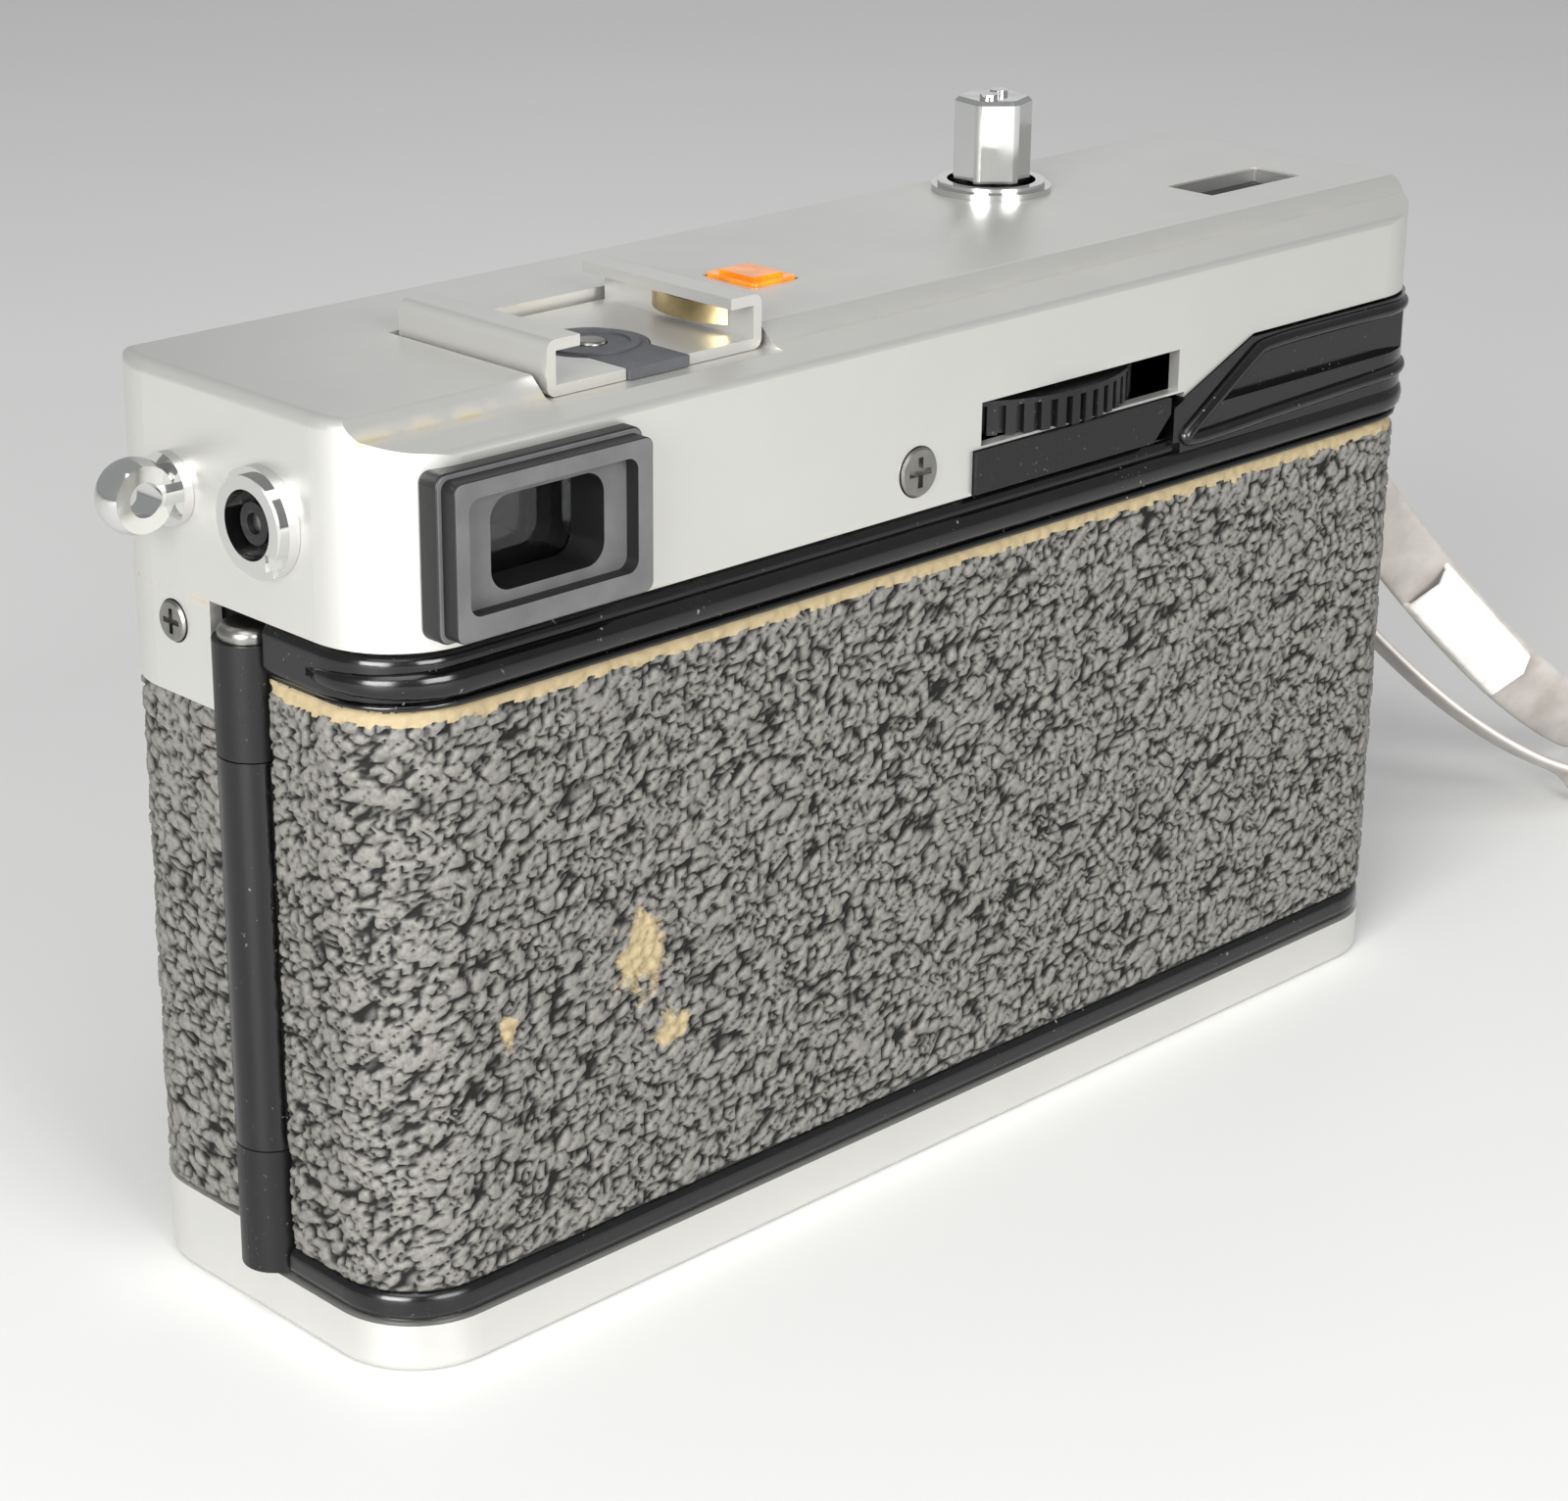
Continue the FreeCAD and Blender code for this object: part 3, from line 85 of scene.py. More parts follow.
# ---- settings ----------------------------------------------------------------------------
class CAMERA_PG_finish(bpy.types.PropertyGroup):
    silver: hue("Satin plate", "#D6D5D1", "Blasted and plated covers")
    grime: hue("Grime", "#9C8C5C", "Old polish and skin grease in the corners of the covers")
    chrome: hue("Bright chrome", "#DEDEDC", "Polished chrome")
    steel: hue("Steel", "#A3A29E", "Turned and rolled steel")
    gloss_black: hue("Glossy black", "#050506", "Moulded door and trim")
    satin_black: hue("Satin black", "#0F0F10", "Finder surround and other satin mouldings")
    enamel: hue("Black enamel", "#070708", "Painted metal")
    # Grain colours: the crest colour is partly rubbed wear and partly a painted highlight; the crease colour is the
    # vinyl's own black darkened with painted shade.
    crest_wear_and_highlight: hue("Grain crest", "#75736E", "Rubbed tops of the leatherette grain")
    crease_black_and_shade: hue("Grain crease", "#0A0A09", "Creases between the grains")
    adhesive: hue("Adhesive", "#9C8D6E", "Dried adhesive along the edge of the leatherette")
    amber: hue("Amber", "#F09416", "Window in the deck")
    orange: hue("Orange paint", "#F0781E", "Index of the frame counter")
    band: hue("Band", "#B4AFAA", "Vinyl of the wrist band")
    sleeve: hue("Sleeve", "#F4F1EC", "Moulded keeper on the band")
    spring: hue("Bronze", "#C9B78E", "Leaf in the shoe")
    insulator: hue("Insulator", "#4A4C50", "Grey moulding in the shoe")
    # Painted sheen: lighter grey for the finder surround's proud faces turned to +Y, standing in for the light they
    # catch.
    plate: hue("Finder plate", "#5C5C5D", "Satin front faces of the finder surround")


class CAMERA_PG_grain(bpy.types.PropertyGroup):
    width: bpy.props.FloatProperty(name="Grain width", description="Length of a pebble along the body, in mm",
                                   default=1.35, min=0.3, max=5.0)
    height: bpy.props.FloatProperty(name="Grain height", description="Height of a pebble, in mm",
                                    default=0.8, min=0.3, max=5.0)
    depth: bpy.props.FloatProperty(name="Grain depth", description="Depth of the creases, in mm",
                                   default=0.42, min=0.0, max=1.0)
    step: bpy.props.FloatProperty(name="Mesh step", description="Spacing of the sheet's vertices, in mm",
                                  default=0.27, min=0.1, max=2.0)


class CAMERA_PG_band(bpy.types.PropertyGroup):
    width: bpy.props.FloatProperty(name="Width", description="Width of the band, in mm", default=6.5)
    thickness: bpy.props.FloatProperty(name="Thickness", description="Thickness of the band, in mm", default=0.9)


class CAMERA_PG_studio(bpy.types.PropertyGroup):
    lens: bpy.props.FloatProperty(name="Focal length", description="On a 36 mm wide sensor", default=81.58)
    roll: bpy.props.FloatProperty(name="Roll", description="Turn about the viewing direction",
                                  subtype="ANGLE", default=math.radians(0.62))
    floor: hue("Floor", "#D2D2D0", "Studio floor")


# ---- shared helpers ----------------------------------------------------------------------
def add_node(tree, kind, inputs=None, **settings):
    """Add a shader node, set its settings, and set or link its inputs."""
    item = tree.nodes.new(kind)
    for key, value in settings.items():
        setattr(item, key, value)
    for key, value in (inputs or {}).items():
        if isinstance(value, bpy.types.NodeSocket):
            tree.links.new(value, item.inputs[key])
        else:
            item.inputs[key].default_value = value
    return item


def new_material(name, **sockets):
    """Empty node material with a Principled shader; returns material, tree, shader, object coordinates."""
    plain = bpy.data.materials.get(name)
    if plain:
        plain.name = "plain_" + name
    mat = bpy.data.materials.new(name)
    mat.use_nodes = True
    tree = mat.node_tree
    shader = tree.nodes["Principled BSDF"]
    for key, value in sockets.items():
        shader.inputs[key.replace("_", " ")].default_value = value
    place = add_node(tree, "ShaderNodeTexCoord").outputs["Object"]
    return mat, tree, shader, place


def grain_noise(tree, place, size_mm, detail=3.0, rough=0.55):
    """Noise whose features are about size_mm across."""
    return add_node(tree, "ShaderNodeTexNoise", {"Vector": place, "Scale": 1000.0 / size_mm,
                                                 "Detail": detail, "Roughness": rough}).outputs["Fac"]


def remap(tree, value, low, high, to_low=0.0, to_high=1.0):
    """Clamped linear map of a value."""
    return add_node(tree, "ShaderNodeMapRange", {"Value": value, "From Min": low, "From Max": high,
                                                 "To Min": to_low, "To Max": to_high}).outputs["Result"]


def calc(tree, operation, a, b=0.0):
    """One math node."""
    return add_node(tree, "ShaderNodeMath", {0: a, 1: b}, operation=operation).outputs["Value"]


def blend_colours(tree, factor, a, b):
    """Mix of two colours."""
    mixed = add_node(tree, "ShaderNodeMix", {"Factor": factor}, data_type="RGBA")
    for key, value in ((6, a), (7, b)):
        if isinstance(value, bpy.types.NodeSocket):
            tree.links.new(value, mixed.inputs[key])
        else:
            mixed.inputs[key].default_value = value
    return mixed.outputs[2]


def set_bump(tree, shader, height, strength, distance_mm):
    """Bump from a height value."""
    bump = add_node(tree, "ShaderNodeBump", {"Height": height, "Strength": strength,
                                             "Distance": distance_mm * MM})
    tree.links.new(bump.outputs["Normal"], shader.inputs["Normal"])


def axes_of(tree, place):
    """X, Y and Z of a position."""
    split = add_node(tree, "ShaderNodeSeparateXYZ", {"Vector": place})
    return split.outputs["X"], split.outputs["Y"], split.outputs["Z"]


def stripe(tree, value, centre_mm, half_mm):
    """1 where a coordinate lies near centre_mm, fading to 0 at half_mm from it."""
    away = calc(tree, "ABSOLUTE", calc(tree, "SUBTRACT", value, centre_mm * MM))
    return remap(tree, away, 0.0, half_mm * MM, 1.0, 0.0)


def dress(obj, material):
    """Give an object one material."""
    obj.data.materials.clear()
    obj.data.materials.append(material)


def finish_mesh(bm, name, material, smooth=True):
    """Turn a bmesh into a named object with a material."""
    mesh = bpy.data.meshes.new(name)
    bm.to_mesh(mesh)
    bm.free()
    for face in mesh.polygons:
        face.use_smooth = smooth
    obj = bpy.data.objects.new(name, mesh)
    bpy.context.scene.collection.objects.link(obj)
    obj.data.materials.append(material)
    return obj


def colours():
    return bpy.context.scene.camera_finish


# ---- materials ---------------------------------------------------------------------------
def satin_plate():
    """Brass, bead-blasted and plated: a soft broad reflection with a fine sparkle, greasy in its corners."""
    mat, tree, shader, place = new_material("satin_plate", Metallic=0.82, Roughness=0.4)
    x, y, z = axes_of(tree, place)
    cloud = grain_noise(tree, place, 14.0)
    high = remap(tree, z, 68.2 * MM, 68.6 * MM)
    fold = calc(tree, "MULTIPLY", stripe(tree, y, 13.2, 0.9), high)
    fold = calc(tree, "MULTIPLY", fold, remap(tree, x, 30 * MM, 44 * MM, 0.25, 1.0))
    fold = calc(tree, "MULTIPLY", fold, remap(tree, grain_noise(tree, place, 2.5), 0.38, 0.6, 0.2, 1.0))
    seam = calc(tree, "MULTIPLY", stripe(tree, z, 54.3, 0.5), remap(tree, grain_noise(tree, place, 2.2), 0.48, 0.7))
    dirt = calc(tree, "MULTIPLY", calc(tree, "MAXIMUM", fold, seam), 0.7)
    tint = blend_colours(tree, remap(tree, cloud, 0.35, 0.7, 0.0, 0.25), colours().silver, linear("#C2C2BF"))
    tree.links.new(blend_colours(tree, dirt, tint, colours().grime), shader.inputs["Base Color"])
    tree.links.new(calc(tree, "ADD", remap(tree, cloud, 0.3, 0.75, 0.34, 0.42),
                        calc(tree, "MULTIPLY", dirt, 0.3)), shader.inputs["Roughness"])
    tree.links.new(remap(tree, dirt, 0.0, 1.0, 0.82, 0.3), shader.inputs["Metallic"])
    # Blast grain is about 0.05 mm; it is drawn at 0.22 mm so that it shows.
    set_bump(tree, shader, grain_noise(tree, place, 0.22, 2.0), 0.2, 0.03)
    return mat


def polished_chrome():
    """Polished chrome plate: mirror-like, with faint haze."""
    mat, tree, shader, place = new_material("polished_chrome", Metallic=1.0, Roughness=0.08)
    shader.inputs["Base Color"].default_value = colours().chrome
    tree.links.new(remap(tree, grain_noise(tree, place, 1.8), 0.35, 0.75, 0.05, 0.17), shader.inputs["Roughness"])
    return mat


def rolled_metal(name, colour, worn_code):
    """Turned or rolled metal: fine tool marks and a dull film."""
    mat, tree, shader, place = new_material(name, Metallic=1.0, Roughness=0.3)
    tone = blend_colours(tree, grain_noise(tree, place, 1.2), colour, linear(worn_code))
    tree.links.new(tone, shader.inputs["Base Color"])
    set_bump(tree, shader, grain_noise(tree, place, 0.18), 0.25, 0.02)
    return mat


def glossy_moulding():
    """Black ABS from a polished mould: wet-looking gloss, hairline scuffs and grey dust."""
    mat, tree, shader, place = new_material("glossy_moulding", Roughness=0.2, IOR=1.53)
    dust = remap(tree, grain_noise(tree, place, 0.5, 2.0), 0.7, 0.76)
    patch = remap(tree, grain_noise(tree, place, 6.0), 0.45, 0.62)
    dust = calc(tree, "MULTIPLY", calc(tree, "MULTIPLY", dust, patch), 0.6)
    tree.links.new(blend_colours(tree, dust, colours().gloss_black, linear("#8C8A84")), shader.inputs["Base Color"])
    smear = remap(tree, grain_noise(tree, place, 4.0, 6.0), 0.4, 0.7, 0.12, 0.3)
    tree.links.new(calc(tree, "ADD", smear, dust), shader.inputs["Roughness"])
    set_bump(tree, shader, grain_noise(tree, place, 1.6, 6.0), 0.08, 0.04)
    return mat


def satin_moulding():
    """Black ABS from a spark-eroded mould: an even fine texture that scatters the light."""
    mat, tree, shader, place = new_material("satin_moulding", Roughness=0.42, IOR=1.53,
                                            Specular_IOR_Level=0.35)
    dust = remap(tree, grain_noise(tree, place, 0.4, 2.0), 0.68, 0.78, 0.0, 0.35)
    tree.links.new(blend_colours(tree, dust, colours().satin_black, linear("#8A8880")), shader.inputs["Base Color"])
    # Spark-eroded texture is about 0.04 mm; it is drawn at 0.16 mm so that it shows.
    set_bump(tree, shader, grain_noise(tree, place, 0.16, 2.0), 0.35, 0.03)
    return mat


def finder_plate():
    """Satin-lacquered surround: black in its walls and grooves, with a painted sheen of lighter grey on the proud
    faces turned to +Y.
    """
    mat, tree, shader, place = new_material("finder_plate", Roughness=0.42, IOR=1.5)
    facing = add_node(tree, "ShaderNodeTexCoord").outputs["Normal"]
    front = remap(tree, axes_of(tree, facing)[1], 0.75, 0.95)
    proud = remap(tree, axes_of(tree, place)[1], 17.2 * MM, 17.5 * MM)
    # Painted sheen: proud faces turned to +Y get the lighter plate grey, varied a little by noise.
    painted_sheen = calc(tree, "MULTIPLY", calc(tree, "MULTIPLY", front, proud),
                  remap(tree, grain_noise(tree, place, 3.0, 5.0), 0.3, 0.65, 0.75, 1.0))
    tree.links.new(blend_colours(tree, painted_sheen, colours().satin_black, colours().plate), shader.inputs["Base Color"])
    set_bump(tree, shader, grain_noise(tree, place, 0.16, 2.0), 0.3, 0.03)
    return mat


def black_enamel():
    """Baked black enamel on brass: satin, with a slight orange peel."""
    mat, tree, shader, place = new_material("black_enamel", Roughness=0.32, IOR=1.5,
                                            Specular_IOR_Level=0.4)
    tone = blend_colours(tree, remap(tree, grain_noise(tree, place, 5.0), 0.4, 0.7), colours().enamel, linear("#1A1A1B"))
    tree.links.new(tone, shader.inputs["Base Color"])
    set_bump(tree, shader, grain_noise(tree, place, 0.6), 0.12, 0.03)
    return mat


def leatherette():
    """Embossed vinyl leatherette: creases nearly black, the vinyl's own black with painted shade; crests lighter,
    partly rubbed wear and partly a painted highlight; tan where it is worn through.
    """
    mat, tree, shader, place = new_material("leatherette", Roughness=0.5, IOR=1.5, Specular_IOR_Level=0.3)
    relief = add_node(tree, "ShaderNodeAttribute", attribute_name="relief").outputs["Fac"]
    worn = add_node(tree, "ShaderNodeAttribute", attribute_name="worn").outputs["Fac"]
    fine = grain_noise(tree, place, 0.4, 3.0, 0.6)
    # Colour follows the grain relief: lighter crests are partly rubbed wear and partly a painted highlight, and the
    # near-black creases carry painted shade.
    crest = calc(tree, "MULTIPLY", remap(tree, relief, 0.1, 0.7), remap(tree, fine, 0.3, 0.65, 0.65, 1.1))
    tone = blend_colours(tree, crest, colours().crease_black_and_shade, colours().crest_wear_and_highlight)
    rub = remap(tree, calc(tree, "ADD", worn, calc(tree, "MULTIPLY", fine, 0.6)), 0.62, 0.85)
    tone = blend_colours(tree, rub, tone, colours().adhesive)
    tree.links.new(tone, shader.inputs["Base Color"])
    tree.links.new(remap(tree, relief, 0.0, 1.0, 0.7, 0.45), shader.inputs["Roughness"])
    # Wrinkles on each pebble, about 0.3 mm apart.
    set_bump(tree, shader, grain_noise(tree, place, 0.3, 3.0, 0.6), 0.5, 0.08)
    return mat


def cast_black():
    """Blackened aluminium casting: matt, with a sandy skin."""
    mat, tree, shader, place = new_material("cast_black", Roughness=0.6, Metallic=0.4)
    tone = blend_colours(tree, grain_noise(tree, place, 2.0), linear("#19191A"), linear("#2B2B2C"))
    tree.links.new(tone, shader.inputs["Base Color"])
    set_bump(tree, shader, grain_noise(tree, place, 0.5), 0.4, 0.05)
    return mat


def amber_window():
    """Moulded amber acrylic: saturated, with a faint even emission, a painted glow for the light that passes through
    it.
    """
    mat, tree, shader, place = new_material("amber_acrylic", Roughness=0.18, IOR=1.49, Coat_Weight=0.5)
    tone = blend_colours(tree, remap(tree, grain_noise(tree, place, 2.5), 0.35, 0.65), colours().amber, linear("#C96F0A"))
    tree.links.new(tone, shader.inputs["Base Color"])
    # Painted glow: a faint amber emission over the whole window, though it is no lamp.
    shader.inputs["Emission Color"].default_value = colours().amber
    shader.inputs["Emission Strength"].default_value = 0.12
    return mat


def plain_paint(name, colour, roughness):
    """Matt printed or moulded colour with a faint mottling."""
    mat, tree, shader, place = new_material(name, Roughness=roughness, IOR=1.5)
    darker = tuple(c * 0.8 for c in colour[:3]) + (1.0,)
    tree.links.new(blend_colours(tree, remap(tree, grain_noise(tree, place, 1.5), 0.4, 0.7), colour, darker),
                   shader.inputs["Base Color"])
    set_bump(tree, shader, grain_noise(tree, place, 0.3), 0.15, 0.02)
    return mat


def clear_glass(name, code, roughness):
    """Optical glass or acrylic: clear, with a thin film of dust."""
    mat, tree, shader, place = new_material(name, Roughness=roughness, IOR=1.5, Transmission_Weight=1.0)
    shader.inputs["Base Color"].default_value = linear(code)
    tree.links.new(remap(tree, grain_noise(tree, place, 0.7), 0.5, 0.8, roughness, roughness + 0.25),
                   shader.inputs["Roughness"])
    return mat


def smoked_window():
    """Thin acrylic over the frame counter: seen straight through, with a hard reflection."""
    mat, tree, shader, place = new_material("counter_acrylic", Roughness=0.05, IOR=1.49, Alpha=0.2)
    shader.inputs["Base Color"].default_value = colours().enamel
    tree.links.new(remap(tree, grain_noise(tree, place, 0.9), 0.45, 0.8, 0.04, 0.2), shader.inputs["Roughness"])
    return mat


def coated_glass():
    """Coated optical glass: a dark clear body with a violet-blue reflection."""
    mat, tree, shader, place = new_material("coated_glass", Roughness=0.03, IOR=1.6, Transmission_Weight=0.85,
                                            Coat_Weight=1.0, Coat_Roughness=0.02)
    shader.inputs["Coat Tint"].default_value = linear("#8E7CFF")
    shader.inputs["Base Color"].default_value = linear("#6F7FA8")
    return mat


def counter_paint():
    """Black frame-counter disc with a white tick for each frame."""
    mat, tree, shader, place = new_material("counter_paint", Roughness=0.45)
    low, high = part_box("counter_dial")
    x, y, z = axes_of(tree, place)
    dx = calc(tree, "SUBTRACT", x, (low.x + high.x) / 2)
    dy = calc(tree, "SUBTRACT", y, (low.y + high.y) / 2)
    angle = calc(tree, "ARCTAN2", dy, dx)
    turn = calc(tree, "FRACT", calc(tree, "MULTIPLY", calc(tree, "ADD", angle, math.pi), 36 / math.tau))
    tick = remap(tree, calc(tree, "ABSOLUTE", calc(tree, "SUBTRACT", turn, 0.5)), 0.09, 0.13, 1.0, 0.0)
    away = calc(tree, "SQRT", calc(tree, "ADD", calc(tree, "MULTIPLY", dx, dx), calc(tree, "MULTIPLY", dy, dy)))
    ring = calc(tree, "MULTIPLY", remap(tree, away, 8.2 * MM, 8.3 * MM), remap(tree, away, 9.6 * MM, 9.7 * MM, 1.0, 0.0))
    tree.links.new(blend_colours(tree, calc(tree, "MULTIPLY", tick, ring), colours().enamel, linear("#D8D8D4")),
                   shader.inputs["Base Color"])
    return mat


def vinyl_band():
    """Calendered grey vinyl: soft sheen, with a painted highlight of paler grey along both rounded edges."""
    mat, tree, shader, place = new_material("vinyl_band", Roughness=0.42, IOR=1.52)
    edge = add_node(tree, "ShaderNodeAttribute", attribute_name="edge").outputs["Fac"]
    mottle = remap(tree, grain_noise(tree, place, 3.0), 0.35, 0.7)
    tone = blend_colours(tree, mottle, colours().band, linear("#A19B95"))
    # Painted highlight: paler grey where the edge attribute marks the band's rounded edges.
    tree.links.new(blend_colours(tree, edge, tone, linear("#D9D5D0")), shader.inputs["Base Color"])
    set_bump(tree, shader, grain_noise(tree, place, 0.5, 4.0), 0.3, 0.05)
    return mat


# ---- pieces ------------------------------------------------------------------------------
def outline_point(run, start_y, sign):
    """Point and outward normal on the body's outline.

    The run starts on the +X end at start_y and goes round by the +Y side (sign 1) or the -Y side
    (sign -1) to the -X end.
    """
    flat = HALF_LENGTH - CORNER_R
    side = (HALF_DEPTH - CORNER_R) - start_y
    arc = math.pi / 2 * CORNER_R
    spans = (side, arc, 2 * flat, arc)
    if run <= spans[0]:
        return Vector((HALF_LENGTH, sign * (start_y + run), 0)), Vector((1, 0, 0))
    run -= spans[0]
    if run <= spans[1]:
        a = run / CORNER_R
        n = Vector((math.cos(a), sign * math.sin(a), 0))
        return Vector((flat, sign * (HALF_DEPTH - CORNER_R), 0)) + n * CORNER_R, n
    run -= spans[1]
    if run <= spans[2]:
        return Vector((flat - run, sign * HALF_DEPTH, 0)), Vector((0, sign, 0))
    run -= spans[2]
    if run <= spans[3]:
        a = run / CORNER_R
        n = Vector((-math.sin(a), sign * math.cos(a), 0))
        return Vector((-flat, sign * (HALF_DEPTH - CORNER_R), 0)) + n * CORNER_R, n
    run -= spans[3]
    return Vector((-HALF_LENGTH, sign * (HALF_DEPTH - CORNER_R - run), 0)), Vector((-1, 0, 0))


def outline_length(start_y, end_y):
    """Length of the run from start_y on the +X end to end_y on the -X end."""
    return (2 * (HALF_DEPTH - CORNER_R) - start_y - end_y + math.pi * CORNER_R + 2 * (HALF_LENGTH - CORNER_R))


def pebble(run, z):
    """Relief of the leather grain, 0 in the creases to 1 on the crests, at a place in mm on the sheet."""
    grain = bpy.context.scene.camera_grain
    drift = noise.noise_vector(Vector((run / 6.0, z / 6.0, 3.1))) * 1.3
    wobble = noise.noise_vector(Vector((run / 1.3, z / 1.3, 9.7))) * 0.22
    along, aside = 0.86 * run + 0.5 * z, 0.86 * z - 0.5 * run
    place = Vector((along / grain.width + drift.x + wobble.x, aside / grain.height + drift.y + wobble.y, 0.0))
    near = noise.voronoi(place, distance_metric="DISTANCE")[0]
    crown = min(1.0, (near[1] - near[0]) / 0.24)
    crown = crown * crown * (3 - 2 * crown)
    fold = noise.noise(Vector((run / 5.0 + z / 9.0, z / 1.5, 21.0)))
    small = noise.noise(Vector((run / 0.6, z / 0.55, 5.0)))
    return max(0.0, min(1.0, crown * (0.86 + 0.35 * fold) + 0.16 * small * crown))


def wear(run, z, spots):
    """How far the leatherette is rubbed through, from spots of (run, z, radius) in mm."""
    total = 0.0
    for spot_run, spot_z, radius in spots:
        away = math.hypot(run - spot_run, (z - spot_z) * 0.8) / radius
        total = max(total, 1.0 - away)
    ragged = noise.noise(Vector((run / 1.6, z / 1.6, 40.0)))
    return max(0.0, min(1.0, total * 1.2 + ragged * 0.5 - 0.15)) if total > 0 else 0.0


def leather_sheet(name, z_low, z_high, start_y, end_y, sign, spots, ragged_top, hole=None):
    """Grained sheet wrapped round the body's outline, with its edges turned in."""
    step = bpy.context.scene.camera_grain.step * 1.0
    depth = bpy.context.scene.camera_grain.depth * MM
    length = outline_length(start_y, end_y)
    across, up = int(length / (step * 1.15 * MM)), int((z_high - z_low) / (step * 0.88 * MM))
    bm = bmesh.new()
    bmesh.ops.create_grid(bm, x_segments=across, y_segments=up, size=0.5)
    relief = bm.verts.layers.float.new("relief")
    worn = bm.verts.layers.float.new("worn")
    outward = {}
    for v in bm.verts:
        run, z = (v.co.x + 0.5) * length, z_low + (v.co.y + 0.5) * (z_high - z_low)
        point, normal = outline_point(run, start_y, sign)
        h = pebble(run / MM, z / MM)
        margin = min(z_high - z, z - z_low, run, length - run) / (0.9 * MM)
        if ragged_top and z_high - z < 1.0 * MM * (1 + 0.45 * noise.noise(Vector((run / 0.002, 0, 7)))):
            v[worn] = 0.85
            h *= 0.5
        else:
            v[worn] = wear(run / MM, z / MM, spots)
        v[relief] = h
        sink = depth * (1 - h) + (0.3 * MM) * max(0.0, 1 - margin) ** 2
        v.co = point + Vector((0, 0, z)) - normal * sink
        outward[v] = normal
    if hole:
        gone = [f for f in bm.faces if f.calc_center_median().y * sign > 0 and hole(f.calc_center_median())]
        bmesh.ops.delete(bm, geom=gone, context="FACES")
    rim = [e for e in bm.edges if e.is_boundary]
    inward = {v: outward[v] for e in rim for v in e.verts}
    made = bmesh.ops.extrude_edge_only(bm, edges=rim)["geom"]
    bm.verts.ensure_lookup_table()
    for v in [g for g in made if isinstance(g, bmesh.types.BMVert)]:
        nearest = min((w for e in v.link_edges for w in e.verts if w in inward), key=lambda w: (w.co - v.co).length)
        v.co -= inward[nearest] * 0.45 * MM
    bmesh.ops.recalc_face_normals(bm, faces=bm.faces)
    return finish_mesh(bm, name, bpy.data.materials["leatherette"])


class CAMERA_OT_stage(bpy.types.Operator):
    """Floor, lights and camera"""
    bl_idname = "camera_kit.stage"
    bl_label = "Studio"

    def execute(self, context):
        studio = context.scene.camera_studio
        mat, tree, shader, place = new_material("studio_floor", Roughness=0.55)
        tone = blend_colours(tree, grain_noise(tree, place, 60.0), studio.floor, linear("#CFCFCD"))
        tree.links.new(tone, shader.inputs["Base Color"])
        bm = bmesh.new()
        bmesh.ops.create_grid(bm, x_segments=8, y_segments=8, size=3.0)
        floor = finish_mesh(bm, "studio_floor", mat)

        view = bpy.data.cameras.new("view")
        view.lens = studio.lens
        view.sensor_width = 36.0
        view.clip_start = 0.01
        camera = bpy.data.objects.new("view", view)
        eye, aim = Vector((192.19, 188.99, 133.17)) * MM, Vector((13.14, 8.83, 35.0)) * MM
        turn = (aim - eye).to_track_quat("-Z", "Y") @ Quaternion((0, 0, 1), studio.roll)
        camera.rotation_euler = turn.to_euler()
        camera.location = eye
        context.scene.collection.objects.link(camera)
        context.scene.camera = camera

        world = bpy.data.worlds.new("studio")
        world.use_nodes = True
        world.node_tree.nodes["Background"].inputs["Color"].default_value = linear("#ECEEF0")
        world.node_tree.nodes["Background"].inputs["Strength"].default_value = 0.42
        context.scene.world = world
        context.scene.view_settings.view_transform = "Standard"
        lamps = (("overhead", (0.3, 0.2, 0.75), 0.5, 2.4), ("window", (0.75, 0.3, 0.3), 0.4, 10.0),
                 ("back_fill", (0.1, 0.8, 0.35), 0.4, 6.0), ("rim", (-0.6, -0.5, 0.45), 0.5, 0.3))
        for label, spot, size, power in lamps:
            light = bpy.data.lights.new(label, "AREA")
            light.energy, light.size = power, size
            lamp = bpy.data.objects.new(label, light)
            lamp.location = spot
            lamp.rotation_euler = (Vector((0, 0, 0.03)) - Vector(spot)).to_track_quat("-Z", "Y").to_euler()
            context.scene.collection.objects.link(lamp)
        return {"FINISHED"}


